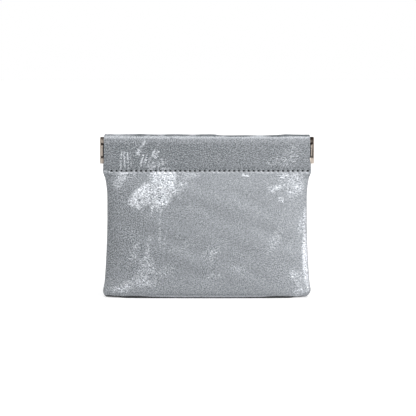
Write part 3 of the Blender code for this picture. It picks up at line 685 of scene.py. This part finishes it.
def turn_in_seam(panel, seam, face, top):
    """Extrude the seam edge inwards, round a quarter turn and along the allowance."""
    mesh = panel.data
    ends = np.zeros(len(mesh.edges) * 2, np.int32)
    mesh.edges.foreach_get("vertices", ends)
    ends = ends.reshape(-1, 2)
    mark(mesh, seam, seam[ends[:, 0]] & seam[ends[:, 1]], np.zeros(len(mesh.polygons), bool))
    count = int(seam.sum())
    first = len(mesh.vertices)
    outer_radius = TURN_RADIUS + LEATHER / 2
    # Each ring of the turn and the allowance: how far in, how deep, and the way walked to it
    rings = [
        (TURN_RADIUS * (1.0 - math.cos(turn)), SIDE_MID - TURN_RADIUS * math.sin(turn), outer_radius * turn)
        for turn in np.radians((22.5, 45.0, 67.5, 90.0))
    ]
    for length in (ALLOWANCE * 0.35, ALLOWANCE * 0.7, ALLOWANCE):
        rings.append((TURN_RADIUS + length, FLAP_MID, outer_radius * math.pi / 2 + length))
    bpy.ops.object.mode_set(mode="EDIT")
    bpy.ops.mesh.select_mode(type="EDGE")
    for _ in rings:
        bpy.ops.mesh.extrude_region_move()
    bpy.ops.object.mode_set(mode="OBJECT")
    places = vertex_places(panel)
    opens = kept_values(panel, "opens")
    hide = kept_values(panel, "hide_place", 3)
    at_side = np.abs(hide[:len(seam), 0][seam]) > FOOT_HALF_WIDTH - 3 * MM
    for number, (inset, depth, walked) in enumerate(rings):
        span = slice(first + number * count, first + (number + 1) * count)
        x, z = places[span, 0].copy(), places[span, 2].copy()
        places[span, 0] = x * (1.0 - inset / FOOT_HALF_WIDTH)
        places[span, 1] = face * depth
        places[span, 2] = z + inset * (top - z) / (top - LEATHER / 2)
        hide[span, 0] += np.sign(hide[span, 0]) * walked * at_side
        hide[span, 1] += walked * ~at_side
        opens[span] = 0.0
    place_vertices(panel, places)
    keep_values(panel, "opens", opens)
    keep_values(panel, "hide_place", hide, 3)


# Lining


def lining_piece(name, face):
    """One lining half, its top tucked into the channel seam, with slack folds."""
    rows = []
    tuck_low = STITCH_HEIGHT - LINING_TUCK_BELOW
    for height in np.linspace(STITCH_HEIGHT + LINING_TUCK, tuck_low, 6):
        rows.append((LINING_TOP_MID, height, LINING_TOP_MID, height, LINING_HALF_WIDTH))
    for depth, height in body_profile()[3:-6]:
        share = (height - LEATHER / 2) / (GROOVE_FOOT - LEATHER / 2)
        lowered = LINING_FLOOR + (tuck_low - LINING_FLOOR) * share
        open_share = smooth_share(lowered, tuck_low - LINING_EDGE_DROP, tuck_low)
        edge = LINING_EDGE_MID + (LINING_TOP_MID - LINING_EDGE_MID) * open_share
        centre = max(depth - LEATHER / 2 - LINING_SLACK - LINING / 2, LINING_TOP_MID)
        rows.append((centre, lowered, edge, lowered, LINING_HALF_WIDTH))
    rows.append((LINING_EDGE_MID, LINING_FLOOR, LINING_EDGE_MID, LINING_FLOOR, LINING_HALF_WIDTH))
    across = np.sin(np.linspace(-math.pi / 2, math.pi / 2, 121))
    across = np.sign(across) * np.abs(across) ** 0.9
    x, depth, height = lofted(np.array(rows, float), across)
    height = height + 0 * x
    slack = smooth_share(height, 8 * MM, 24 * MM) * (1.0 - smooth_share(height, 50 * MM, 60 * MM))
    fold = 0.5 - 0.5 * np.sin(x / (3.1 * MM) + height / (19 * MM) + face) * np.sin(height / (11 * MM))
    slack = slack * (1 - np.abs(across[None, :]) ** 4)
    depth = np.maximum(depth - LINING_FOLD * fold * slack, LINING_EDGE_MID)
    sewn = smooth_share(height, 57 * MM, 63 * MM)
    opens = opens_share(x / (LINING_HALF_WIDTH + (BAND_HALF_WIDTH - LINING_HALF_WIDTH) * sewn), height)
    lining = sheet_piece(name, np.stack([x, face * depth, height], axis=2)[:, ::face])
    keep_values(lining, "cloth_place", np.stack([x, height, 0 * x], axis=2)[:, ::face], 3)
    keep_values(lining, "opens", opens[:, ::face])
    apply_modifier(lining, "SOLIDIFY", thickness=LINING, offset=0.0)
    smooth_shade(lining, 50)
    return lining


# Springs and hinges


def spring_strip(name, face):
    """One flat spring with rounded edges and corners."""
    half_length = PIN_X - LEAF_NECK
    stations = half_length * np.sin(np.linspace(-math.pi / 2, math.pi / 2, 81))
    turn = np.linspace(0.0, 2 * math.pi, 33)[:-1]
    edge = STRIP_THICKNESS / 2
    flat = np.sign(np.sin(turn)) * np.abs(np.sin(turn)) ** 0.12
    side = flat * (STRIP_HEIGHT / 2 - edge) + edge * np.sin(turn)
    into = np.clip((np.abs(stations) - (half_length - STRIP_CORNER)) / STRIP_CORNER, 0.0, 1.0)
    shorter = STRIP_CORNER * (1.0 - np.sqrt(1.0 - into ** 2)) * 0.9
    scale = 1.0 - shorter / (STRIP_HEIGHT / 2)
    rings = np.zeros((len(stations), len(turn), 3))
    rings[:, :, 0] = stations[:, None]
    rings[:, :, 1] = face * STRIP_MID + edge * np.cos(turn)[None, :]
    rings[:, :, 2] = STRIP_MIDDLE + side[None, :] * scale[:, None]
    strip = tube_piece(name, rings)
    # Where the leaves grip it, the strip stays upright and goes as far as they do
    places = vertex_places(strip)
    held = smooth_share(np.abs(places[:, 0]), PIN_X - 14 * MM, PIN_X - LEAF_LENGTH)
    share = bowed_share(places[:, 0] / PIN_X) + LEAF_CARRY * held
    keep_values(strip, "opens", share * (1.0 + (STRIP_MIDDLE / places[:, 2] - 1.0) * held))
    smooth_shade(strip, 40)
    return strip


def leaf_outline():
    """Middle line of the folded sheet, seen from above, with the pin at the origin.

    The first axis runs in along the strip, the second away from the plane y = 0.
    """
    tail_offset = STRIP_THICKNESS / 2 + SHEET_FIT + SHEET / 2
    inner, outer = STRIP_MID - tail_offset, STRIP_MID + tail_offset
    line = [(LEAF_LENGTH, inner), (LEAF_GRIP, inner), (LEAF_NECK, inner)]
    for angle in np.linspace(math.pi / 2, math.pi, 6)[1:]:
        along = CURL_RADIUS + LEAF_BEND + LEAF_BEND * math.cos(angle)
        line.append((along, inner - LEAF_BEND + LEAF_BEND * math.sin(angle)))
    for angle in np.linspace(0.0, 2 * math.pi - PEEL_ANGLE, 33):
        line.append((CURL_RADIUS * math.cos(angle), -CURL_RADIUS * math.sin(angle)))
    # From the curl a smooth bend back to the strip, leaving at 40 degrees
    start = np.array(line[-1])
    end = np.array((LEAF_NECK, outer))
    pull = start + np.array((0.766, 0.643)) * 1.15 * MM
    hold = end - np.array((0.9, 0.0)) * MM
    for t in (0.25, 0.5, 0.75):
        point = (1 - t) ** 3 * start + 3 * (1 - t) ** 2 * t * pull
        line.append(tuple(point + 3 * (1 - t) * t ** 2 * hold + t ** 3 * end))
    return np.array(line + [(LEAF_NECK, outer), (LEAF_GRIP, outer), (LEAF_LENGTH, outer)])


def hinge_leaf(name, side, face):
    """A folded sheet that grips the strip's end and curls round the pin in knuckles."""
    line = leaf_outline()
    low, high = MIDDLE_KNUCKLE_BASE, MIDDLE_KNUCKLE_BASE + MIDDLE_KNUCKLE
    gap = STACK_GAP if face == FRONT else 0.0
    levels = np.array((0.0, low - gap, high + gap, STRIP_HEIGHT))
    points = np.zeros((len(levels), len(line), 3))
    points[:, :, 0] = side * (PIN_X - line[None, :, 0])
    points[:, :, 1] = face * line[None, :, 1]
    points[:, :, 2] = STRIP_BASE + levels[:, None]
    leaf = sheet_piece(name, points)
    mesh = leaf.data
    gone = []
    for polygon in mesh.polygons:
        column, row = polygon.index % (len(line) - 1), polygon.index // (len(line) - 1)
        curled = 2 <= column < len(line) - 3
        is_knuckle = row == 1 if face == BACK else row != 1
        gone.append(curled and not is_knuckle)
    mark(mesh, np.zeros(len(mesh.vertices), bool), np.zeros(len(mesh.edges), bool), gone)
    bpy.ops.object.mode_set(mode="EDIT")
    bpy.ops.mesh.select_mode(type="FACE")
    bpy.ops.mesh.delete(type="FACE")
    bpy.ops.mesh.select_all(action="SELECT")
    bpy.ops.mesh.normals_make_consistent(inside=False)
    bpy.ops.object.mode_set(mode="OBJECT")
    apply_modifier(leaf, "SOLIDIFY", thickness=SHEET, offset=0.0, use_even_offset=True)
    apply_modifier(
        leaf, "BEVEL", width=LEAF_EDGE, segments=2, limit_method="ANGLE", angle_limit=math.radians(50),
    )
    smooth_shade(leaf, 40)
    return leaf


def hinge_pin(name, side):
    """A pin from a cylinder, with a domed head above the stack and a swaged tail below."""
    bpy.ops.object.select_all(action="DESELECT")
    bpy.ops.mesh.primitive_cylinder_add(
        vertices=36, radius=PIN_RADIUS, depth=STRIP_HEIGHT + 2 * STACK_GAP, calc_uvs=False,
        location=(side * PIN_X, 0.0, STRIP_MIDDLE),
    )
    pin = bpy.context.object
    pin.name = pin.data.name = name
    # Each end's way, radius and height, and the rise and radius of its steps as shares of them
    ends = (
        (1.0, PIN_HEAD_RADIUS, PIN_HEAD_HEIGHT, ((0.30, 1.0), (0.62, 0.93), (0.86, 0.74), (1.0, 0.42))),
        (-1.0, PIN_TAIL_RADIUS, PIN_TAIL_HEIGHT, ((0.35, 1.0), (0.75, 0.88), (1.0, 0.6))),
    )
    for way, radius, height, steps in ends:
        for polygon in pin.data.polygons:
            polygon.select = polygon.normal.z * way > 0.9
        bpy.ops.object.mode_set(mode="EDIT")
        bpy.ops.mesh.select_mode(type="FACE")
        bpy.ops.mesh.extrude_region_move()
        bpy.ops.transform.resize(value=(radius / PIN_RADIUS, radius / PIN_RADIUS, 1.0))
        up, wide = 0.0, 1.0
        for rise, share in steps:
            bpy.ops.mesh.extrude_region_move()
            bpy.ops.transform.translate(value=(0.0, 0.0, way * (rise - up) * height))
            bpy.ops.transform.resize(value=(share / wide, share / wide, 1.0))
            up, wide = rise, share
        bpy.ops.mesh.select_all(action="DESELECT")
        bpy.ops.object.mode_set(mode="OBJECT")
    bpy.ops.object.transform_apply(location=True, rotation=True, scale=True)
    smooth_shade(pin, 40)
    return pin


# Threads


def thread_piece(name, path, radius, reference, sides=10):
    """A round thread through the points of a path."""
    ahead = np.gradient(path, axis=0)
    ahead /= np.linalg.norm(ahead, axis=1)[:, None]
    first = np.cross(ahead, np.array(reference, float))
    first /= np.linalg.norm(first, axis=1)[:, None]
    second = np.cross(ahead, first)
    turn = np.arange(sides) / sides * 2 * math.pi
    ring = first[:, None] * np.cos(turn)[None, :, None] + second[:, None] * np.sin(turn)[None, :, None]
    run = run_along(path)[:, None] + 0 * turn[None, :]
    twist = np.stack([run, np.cos(3 * turn)[None, :] + 0 * run, np.sin(3 * turn)[None, :] + 0 * run], axis=2)
    thread = tube_piece(name, path[:, None] + radius * ring, {"twist_place": twist})
    smooth_shade(thread, 60)
    return thread


def channel_thread(name, face, x, depth, radius):
    """A thread along the stitches of the channel seam, with the leather's opening shares kept on it."""
    path = np.stack([x, face * depth, np.full(len(x), STITCH_HEIGHT)], axis=1)
    thread = thread_piece(name, path, radius, (0.0, 0.0, 1.0))
    places = vertex_places(thread)
    keep_values(thread, "opens", opens_share(places[:, 0] / BAND_HALF_WIDTH, places[:, 2]))
    return thread


def channel_needle_thread(name, face):
    """The outer thread of a channel seam, which goes into each needle hole."""
    steps = np.arange(FIRST_STITCH * THREAD_STEPS, STITCH_COUNT * THREAD_STEPS + 1)
    x = FIRST_HOLE + steps * STITCH_PITCH / THREAD_STEPS
    half = THREAD_STEPS // 2
    away = np.abs(((steps + half) % THREAD_STEPS) - half) * STITCH_PITCH / THREAD_STEPS
    depth = GROOVE_MID + LEATHER / 2 + 0.2 * MM - NEEDLE_DIP * hump(away, 0.0, 0.56 * MM)
    return channel_thread(name, face, x, depth, THREAD_RADIUS)


def channel_bobbin_thread(name, face):
    """The inner thread of a channel seam, in the flap's recess."""
    half_length = FLAP_HALF_WIDTH - STITCH_PITCH
    x = np.linspace(-half_length, half_length, 481)
    stitch = (x - FIRST_HOLE) / STITCH_PITCH
    away = np.abs(stitch - np.round(stitch)) * STITCH_PITCH
    depth = FLAP_STITCHED_MID - LEATHER / 2 - THREAD_LIFT - SEAM_THREAD_RADIUS
    depth = depth + BOBBIN_DIP * hump(away, 0.0, 0.4 * MM)
    return channel_thread(name, face, x, depth, SEAM_THREAD_RADIUS)


def round_the_bag(half_width_at, top, floor, radius):
    """A route down one side, round the bottom corners and up the other side."""
    heights = np.linspace(top, floor + radius, 121)
    half = [(half_width_at(height), height) for height in heights[:-1]]
    side = half_width_at(floor + radius)
    for angle in np.linspace(0.0, math.pi / 2, 9):
        half.append((side - radius + radius * math.cos(angle), floor + radius - radius * math.sin(angle)))
    half += [(across, floor) for across in np.linspace(half[-1][0], 0.0, 101)[1:]]
    left = [(-across, height) for across, height in half]
    return np.array(left + half[-2::-1])


def sewn_thread(name, route, depth, radius, lift):
    """A seam thread along a route in the seam's plane, which dips at each hole."""
    dip = 0.5 + 0.5 * np.cos(2 * math.pi * run_along(route) / STITCH_PITCH)
    path = np.stack([route[:, 0], depth - lift * dip, route[:, 1]], axis=1)
    return thread_piece(name, path, radius, (0.0, 1.0, 0.0), sides=8)


# Materials


def linear_colour(code):
    """A linear colour from an sRGB hex code."""
    values = [int(code[place:place + 2], 16) / 255 for place in (1, 3, 5)]
    return (*[v / 12.92 if v <= 0.04045 else ((v + 0.055) / 1.055) ** 2.4 for v in values], 1.0)


def new_material(name, store=bpy.data.materials):
    """A new material, or a world, with its nodes cleared."""
    material = store.new(name)
    material.use_nodes = True
    material.node_tree.nodes.clear()
    return material


def node(material, kind, inputs=None, **settings):
    """Add a shader node with its settings, and set or link its inputs.

    An input gets a value, a hex colour, an output, or a node for that node's first output.
    """
    tree = material.node_tree
    made = tree.nodes.new(f"ShaderNode{kind}")
    for setting, value in settings.items():
        setattr(made, setting, value)
    for name, value in (inputs or {}).items():
        if isinstance(value, bpy.types.Node):
            value = value.outputs[0]
        if isinstance(value, bpy.types.NodeSocket):
            tree.links.new(value, made.inputs[name])
        else:
            made.inputs[name].default_value = linear_colour(value) if isinstance(value, str) else value
    return made


def finished(m, share, first, second, relief, inputs):
    """Close a material with one shader.

    Its colour goes from the first to the second by a share. The relief is a height
    with the strength and the depth of its bump.
    """
    colour = node(m, "Mix", {0: share, 6: first, 7: second}, data_type="RGBA")
    inputs = {"Base Color": colour.outputs[2], **inputs}
    if relief:
        height, strength, distance = relief
        inputs["Normal"] = node(m, "Bump", {"Height": height, "Strength": strength, "Distance": distance})
    shader = node(m, "BsdfPrincipled", inputs)
    node(m, "OutputMaterial", {"Surface": shader})
    return m


def silver_leather():
    """Suede split with a thin silver foil pressed on and partly rubbed off.

    The eye gets a matt mid grey, fine slanting flakes of bright foil, whole patches
    where the foil is left, painted light and shade from the tone, and painted shade in the needle holes and
    along the foot.
    """
    m = new_material("foiled_suede_leather")
    place = node(m, "Attribute", attribute_name="hide_place").outputs["Vector"]
    foil, tone, speckled, hole = (
        node(m, "Attribute", attribute_name=name).outputs["Fac"]
        for name in ("foil", "tone", "speckled", "painted_dark_place")
    )
    # Uneven pull of the hide, about 5 mm across, shifts the finer patterns by up to 1 mm
    pull = node(m, "TexNoise", {"Vector": place, "Scale": 200.0, "Detail": 2.0}).outputs["Color"]
    shift = node(m, "VectorMath", {0: pull, 1: (2 * MM,) * 3, 2: (-MM,) * 3}, operation="MULTIPLY_ADD")
    pulled = node(m, "VectorMath", {0: place, 1: shift}, operation="ADD")
    # Crackle of the foil, worm lines about 1 mm apart and longer across than up
    flat = node(m, "Mapping", {"Vector": pulled, "Scale": (0.66, 1.0, 1.0)})
    crackle = node(m, "TexNoise", {"Vector": flat, "Scale": 1850.0, "Detail": 0.0, "Distortion": 1.0})
    # Grain of the split, about 0.5 mm, drawn coarser than the real 0.1 mm so that it shows
    grain = node(m, "TexNoise", {
        "Vector": place, "Scale": 1900.0, "Detail": 1.0, "Roughness": 0.4, "Distortion": 0.3,
    })
    # Clouds of wear about 12 mm across, and ragged edges of about 1.5 mm that follow the crackle
    cloud = node(m, "TexNoise", {"Vector": pulled, "Scale": 85.0, "Detail": 3.0, "Roughness": 0.55})
    ragged = node(m, "TexNoise", {"Vector": pulled, "Scale": 650.0, "Detail": 2.0, "Roughness": 0.6})
    frayed = foil
    for pattern, strength in ((cloud, 0.45), (ragged, 0.45), (crackle, 0.48)):
        frayed = node(m, "Math", {0: pattern, 1: strength, 2: frayed}, operation="MULTIPLY_ADD")
    patch = node(m, "MapRange", {"Value": frayed, "From Min": 0.90, "From Max": 1.52},
                 interpolation_type="SMOOTHSTEP")
    # Flakes and nap, both stronger and lighter where the foil is left
    worms, grains = (node(m, "Math", {0: found, 1: 0.5}, operation="SUBTRACT") for found in (crackle, grain))
    nap = node(m, "Math", {0: grains, 1: speckled}, operation="MULTIPLY")
    gain, level, metal, rough = (
        node(m, "MapRange", {"Value": patch, "To Min": bare, "To Max": covered})
        for bare, covered in ((0.35, 1.6), (0.235, 0.46), (0.2, 0.6), (0.6, 0.42))
    )
    lit = node(m, "Math", {0: worms, 1: gain, 2: level}, operation="MULTIPLY_ADD")
    grainy = node(m, "Math", {0: nap, 1: 1.25, 2: lit}, operation="MULTIPLY_ADD")
    # The tone brings painted light and shade into the silver colour
    toned = node(m, "Math", {0: tone, 1: 0.17, 2: grainy}, operation="MULTIPLY_ADD", use_clamp=True)
    silver = node(m, "Mix", {0: toned, 6: "#51575B", 7: "#EEF1F7"}, data_type="RGBA")
    # Painted shade in the needle holes and painted contact shadow along the foot, near black, with a mottled
    # edge
    mottled = node(m, "Math", {0: grains, 1: 0.35, 2: hole}, operation="MULTIPLY_ADD")
    hole_and_foot_shade = node(m, "MapRange", {"Value": mottled, "From Min": 0.22, "From Max": 0.42},
                     interpolation_type="SMOOTHSTEP")
    return finished(
        m, hole_and_foot_shade, silver.outputs[2], "#0C0C0D", (grainy, 0.5, 0.15 * MM),
        {"Metallic": metal, "Roughness": rough},
    )


def raw_leather():
    """Flesh side and cut edge of the same leather: matt grey fibres about 0.5 mm long, no foil."""
    m = new_material("raw_leather_flesh_side")
    place = node(m, "TexCoord").outputs["Object"]
    fibre = node(m, "TexNoise", {"Vector": place, "Scale": 2200.0, "Detail": 3.0, "Roughness": 0.7})
    return finished(m, fibre, "#5F6163", "#8B8D8F", (fibre, 0.6, 0.1 * MM), {"Roughness": 0.85})


def lining_cloth():
    """Plain woven polyester lining, charcoal, with a faint sheen.

    Threads lie about 0.25 mm apart and are drawn 0.5 mm apart so that the weave shows.
    """
    m = new_material("woven_polyester_lining")
    place = node(m, "Attribute", attribute_name="cloth_place").outputs["Vector"]
    scaled = node(m, "VectorMath", {0: place, "Scale": 2 * math.pi / (0.5 * MM)}, operation="SCALE")
    parts = node(m, "SeparateXYZ", {0: scaled}).outputs
    warp, weft = (node(m, "Math", {0: parts[axis]}, operation="SINE") for axis in (0, 1))
    weave = node(m, "Math", {0: warp, 1: weft}, operation="MULTIPLY")
    # Slight unevenness of the cloth, about 6 mm across
    uneven = node(m, "TexNoise", {"Vector": place, "Scale": 160.0, "Detail": 3.0})
    mixed = node(m, "Math", {0: weave, 1: 0.3, 2: uneven}, operation="MULTIPLY_ADD")
    return finished(
        m, mixed, "#4A4C51", "#75787F", (weave, 0.5, 0.08 * MM),
        {"Roughness": 0.7, "Sheen Weight": 0.2, "Sheen Roughness": 0.4},
    )


def polyester_thread():
    """Three-ply polyester sewing thread, grey like the leather, its plies wound every 0.9 mm."""
    m = new_material("polyester_sewing_thread")
    place = node(m, "Attribute", attribute_name="twist_place").outputs["Vector"]
    run, ply_cos, ply_sin = node(m, "SeparateXYZ", {0: place}).outputs
    wound = node(m, "Math", {0: run, 1: 2 * math.pi / (0.9 * MM)}, operation="MULTIPLY")
    sine, cosine = (node(m, "Math", {0: wound}, operation=wave) for wave in ("SINE", "COSINE"))
    first = node(m, "Math", {0: sine, 1: ply_cos}, operation="MULTIPLY")
    plies = node(m, "Math", {0: cosine, 1: ply_sin, 2: first}, operation="MULTIPLY_ADD")
    share = node(m, "MapRange", {"Value": plies, "From Min": -1.0, "From Max": 1.0})
    return finished(m, share, "#85888B", "#C2C5C8", (share, 0.8, 0.06 * MM), {"Roughness": 0.55})


def spring_steel():
    """Hardened steel strip, polished lengthwise: cool grey, fine lines about 0.2 mm apart."""
    m = new_material("polished_spring_steel")
    place = node(m, "TexCoord").outputs["Object"]
    lengthwise = node(m, "Mapping", {"Vector": place, "Scale": (0.02, 1.0, 1.0)})
    lines = node(m, "TexNoise", {"Vector": lengthwise, "Scale": 6000.0, "Detail": 2.0})
    rough = node(m, "MapRange", {"Value": lines, "To Min": 0.22, "To Max": 0.42})
    return finished(m, lines, "#9A9B9E", "#B6B7BA", None, {"Metallic": 1.0, "Roughness": rough})


def nickel_plate():
    """Nickel plated steel sheet, tumbled: warm pale metal with small scuffs about 1 mm across.

    Painted brown shade sits where the knuckles meet and against the leather, and a painted
    dark reflection on the outer side. The right hinge has more of it at the top and less below. The outermost
    edge is left without it.
    """
    m = new_material("tumbled_nickel_plate")
    place = node(m, "TexCoord").outputs["Object"]
    scuffs = node(m, "TexNoise", {"Vector": place, "Scale": 900.0, "Detail": 4.0, "Roughness": 0.7})
    tone = node(m, "Mix", {0: scuffs, 6: "#9C8F84", 7: "#D2C8BE"}, data_type="RGBA")
    across, _, height = node(m, "SeparateXYZ", {0: place}).outputs
    up = node(m, "MapRange", {
        "Value": height, "From Min": STRIP_BASE, "From Max": STRIP_BASE + STRIP_HEIGHT,
    })
    # Painted shade at shares of the stack's height, most in the gaps where two knuckles meet
    stops = (
        (0.0, 0.1), (0.16, 0.0), (0.21, 0.95), (0.25, 0.95), (0.31, 0.15), (0.68, 0.2),
        (0.74, 1.0), (0.79, 1.0), (0.84, 0.25), (0.93, 0.35), (0.97, 0.8),
    )
    ends = node(m, "ValToRGB", {0: up})
    ramp = ends.color_ramp
    while len(ramp.elements) < len(stops):
        ramp.elements.new(0.5)
    for element, (share, dark) in zip(ramp.elements, stops):
        element.position = share
        element.color = (dark, dark, dark, 1.0)
    # The painted shade on the sides is not alike on both hinges, so it is measured from 0.25 mm off the
    # middle
    shifted = node(m, "Math", {0: across, 1: 0.25 * MM}, operation="ADD")
    aside, outermost = (node(m, "Math", {0: found}, operation="ABSOLUTE") for found in (shifted, across))
    rough, inner, outer, polished, top, right, lowest_lift = (
        node(m, "MapRange", {
            "Value": found, "From Min": low, "From Max": high, "To Min": start, "To Max": end,
        })
        for found, low, high, start, end in (
            (scuffs, 0.3, 0.7, 0.18, 0.42), (aside, 53.2 * MM, 53.6 * MM, 0.6, 0.0),
            (aside, 54.05 * MM, 54.2 * MM, 0.0, 0.9), (outermost, 54.60 * MM, 54.70 * MM, 1.0, 0.0),
            (up, 0.74, 0.80, -0.25, 0.5), (across, -10 * MM, 10 * MM, 0.0, 1.0), (up, 0.20, 0.23, 0.9, 0.0),
        )
    )
    # Painted shade against the leather and painted dark reflection on the outer side; more at the top of the
    # right hinge, and lifted from its sides below its lowest gap
    sides = node(m, "Math", {0: inner, 1: outer}, operation="MAXIMUM")
    shade_lifted = node(m, "Math", {0: lowest_lift, 1: right}, operation="MULTIPLY")
    side_painted_shade = node(m, "Math", {0: sides, 1: shade_lifted}, operation="SUBTRACT", use_clamp=True)
    uneven = node(m, "Math", {0: top, 1: right, 2: ends}, operation="MULTIPLY_ADD")
    knuckle_painted_shade = node(m, "Math", {0: side_painted_shade, 1: uneven}, operation="MAXIMUM", use_clamp=True)
    # Painted brown shade toward #2C241F, which the polished share keeps off the outermost edge
    dark = node(m, "Math", {0: knuckle_painted_shade, 1: polished}, operation="MULTIPLY")
    return finished(
        m, dark, tone.outputs[2], "#2C241F", (scuffs, 0.2, 0.03 * MM),
        {"Metallic": 1.0, "Roughness": rough},
    )


# Putting the pouch together


def stand_for(piece, cad_node, finishes):
    """Give a piece its finishes, and let it stand for a CAD node."""
    for finish in finishes:
        piece.data.materials.append(finish)
    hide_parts(cad_node)


def dress_pouch():
    """Make every piece and give it its finish; hinge leaves, pins and seam threads go with their bodies."""
    leather, raw = silver_leather(), raw_leather()
    cloth, yarn = lining_cloth(), polyester_thread()
    steel, nickel = spring_steel(), nickel_plate()
    halves = (("front", FRONT, FRONT_FOIL, FRONT_SHINE), ("back", BACK, BACK_FOIL, BACK_SHINE))
    ends = (("left", LEFT), ("right", RIGHT))
    for word, face, patches, shine in halves:
        half = leather_panel(f"{word}_leather", face, patches, shine, (leather, raw))
        cloth_half = lining_piece(f"{word}_lining_cloth", face)
        spring = spring_strip(f"{word}_spring", face)
        needle = channel_needle_thread(f"{word}_needle_stitches", face)
        bobbin = channel_bobbin_thread(f"{word}_bobbin_stitches", face)
        for piece, cad_node, slot, finishes in (
            (half, "panel", "leather", ()),
            (cloth_half, "lining", "lining", (cloth,)),
            (spring, "spring_strip", "spring_steel", (steel,)),
            (needle, "channel_needle_thread", "thread", (yarn,)),
            (bobbin, "channel_bobbin_thread", "thread", (yarn,)),
        ):
            open_with_mouth(piece, face)
            stand_for(piece, f"{word}_{cad_node}", finishes)
        for end, side in ends:
            leaf = hinge_leaf(f"{word}_{end}_knuckles", side, face)
            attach(leaf, f"{word}_{end}_leaf")
            stand_for(leaf, f"{word}_{end}_hinge_leaf", (nickel,))
    for end, side in ends:
        pin = hinge_pin(f"{end}_pin", side)
        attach(pin, "pouch")
        stand_for(pin, f"{end}_hinge_pin", (nickel,))
    inset = TURN_RADIUS + SEAM_INSET
    seam_route = round_the_bag(
        lambda height: float(outline_half_width(height)) - LEATHER / 2 - inset,
        GROOVE_FOOT - 2 * ALLOWANCE_DROP, LEATHER / 2 + inset, CORNER_RADIUS,
    )
    edge_route = round_the_bag(
        lambda height: LINING_HALF_WIDTH,
        STITCH_HEIGHT - LINING_TUCK_BELOW - LINING_EDGE_DROP, LINING_FLOOR, 4 * LINING_THREAD_RADIUS,
    )
    beside = FLAP_MID + LEATHER / 2 + THREAD_LIFT + SEAM_THREAD_RADIUS
    for name, route, depth, radius, lift, cad_node in (
        ("seam_needle_stitches", seam_route, -beside, SEAM_THREAD_RADIUS, -SEAM_DIP, "seam_needle_thread"),
        ("seam_bobbin_stitches", seam_route, beside, SEAM_THREAD_RADIUS, SEAM_DIP, "seam_bobbin_thread"),
        ("lining_edge_stitches", edge_route, 0.0, LINING_THREAD_RADIUS, 0.0, "lining_seam_thread"),
    ):
        thread = sewn_thread(name, route, depth, radius, lift)
        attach(thread, "pouch")
        stand_for(thread, cad_node, (yarn,))


# Studio


def seen_directly(material_or_world):
    """1 for rays from the eye, a reflection or a clear body, and 0 for light on a surface."""
    rays = node(material_or_world, "LightPath").outputs
    gloss = node(material_or_world, "Math", {0: rays["Is Camera Ray"], 1: rays["Is Glossy Ray"]},
                 operation="MAXIMUM")
    return node(material_or_world, "Math", {0: gloss, 1: rays["Is Transmission Ray"]}, operation="MAXIMUM")


def studio():
    """White floor, white surroundings, soft light and a long lens."""
    scene = bpy.context.scene
    bpy.ops.object.select_all(action="DESELECT")
    bpy.ops.mesh.primitive_plane_add(size=FLOOR_SIZE, location=(0.0, 0.0, 0.0))
    floor = bpy.context.object
    floor.name = "studio_floor"
    paint = new_material("matt_white_floor")
    white = node(paint, "BsdfDiffuse", {"Color": "#E6E6E6"})
    level = node(paint, "Math", {0: seen_directly(paint), 1: FLOOR_GLOW}, operation="MULTIPLY")
    glow = node(paint, "Emission", {"Color": "#FFFFFF", "Strength": level})
    both = node(paint, "AddShader", {0: white, 1: glow})
    node(paint, "OutputMaterial", {"Surface": both})
    floor.data.materials.append(paint)

    world = new_material("white_surroundings", bpy.data.worlds)
    scene.world = world
    strength = node(world, "MapRange", {"Value": seen_directly(world), "To Min": SKY_STRENGTH, "To Max": 1.0})
    sky = node(world, "Background", {"Color": "#FFFFFF", "Strength": strength})
    node(world, "OutputWorld", {"Surface": sky})

    for name, towards, share, spread in LAMPS:
        light = bpy.data.lights.new(name, "SUN")
        light.energy = share * math.pi
        light.angle = math.radians(spread)
        lamp = bpy.data.objects.new(name, light)
        lamp.rotation_euler = Vector(towards).to_track_quat("Z", "Y").to_euler()
        scene.collection.objects.link(lamp)

    lens = bpy.data.cameras.new("long_lens")
    lens.sensor_width = SENSOR_WIDTH
    lens.lens = SENSOR_WIDTH * CAMERA_DISTANCE / PICTURE_WIDTH
    lens.clip_start, lens.clip_end = 0.05, 20.0
    camera = bpy.data.objects.new("camera", lens)
    aim = Vector(CAMERA_AIM)
    back = Vector((0.0, -math.cos(CAMERA_ELEVATION), math.sin(CAMERA_ELEVATION)))
    camera.location = aim + back * CAMERA_DISTANCE
    camera.rotation_euler = (aim - camera.location).to_track_quat("-Z", "Y").to_euler()
    scene.collection.objects.link(camera)
    scene.camera = camera
    scene.view_settings.view_transform = "Standard"


dress_pouch()
studio()
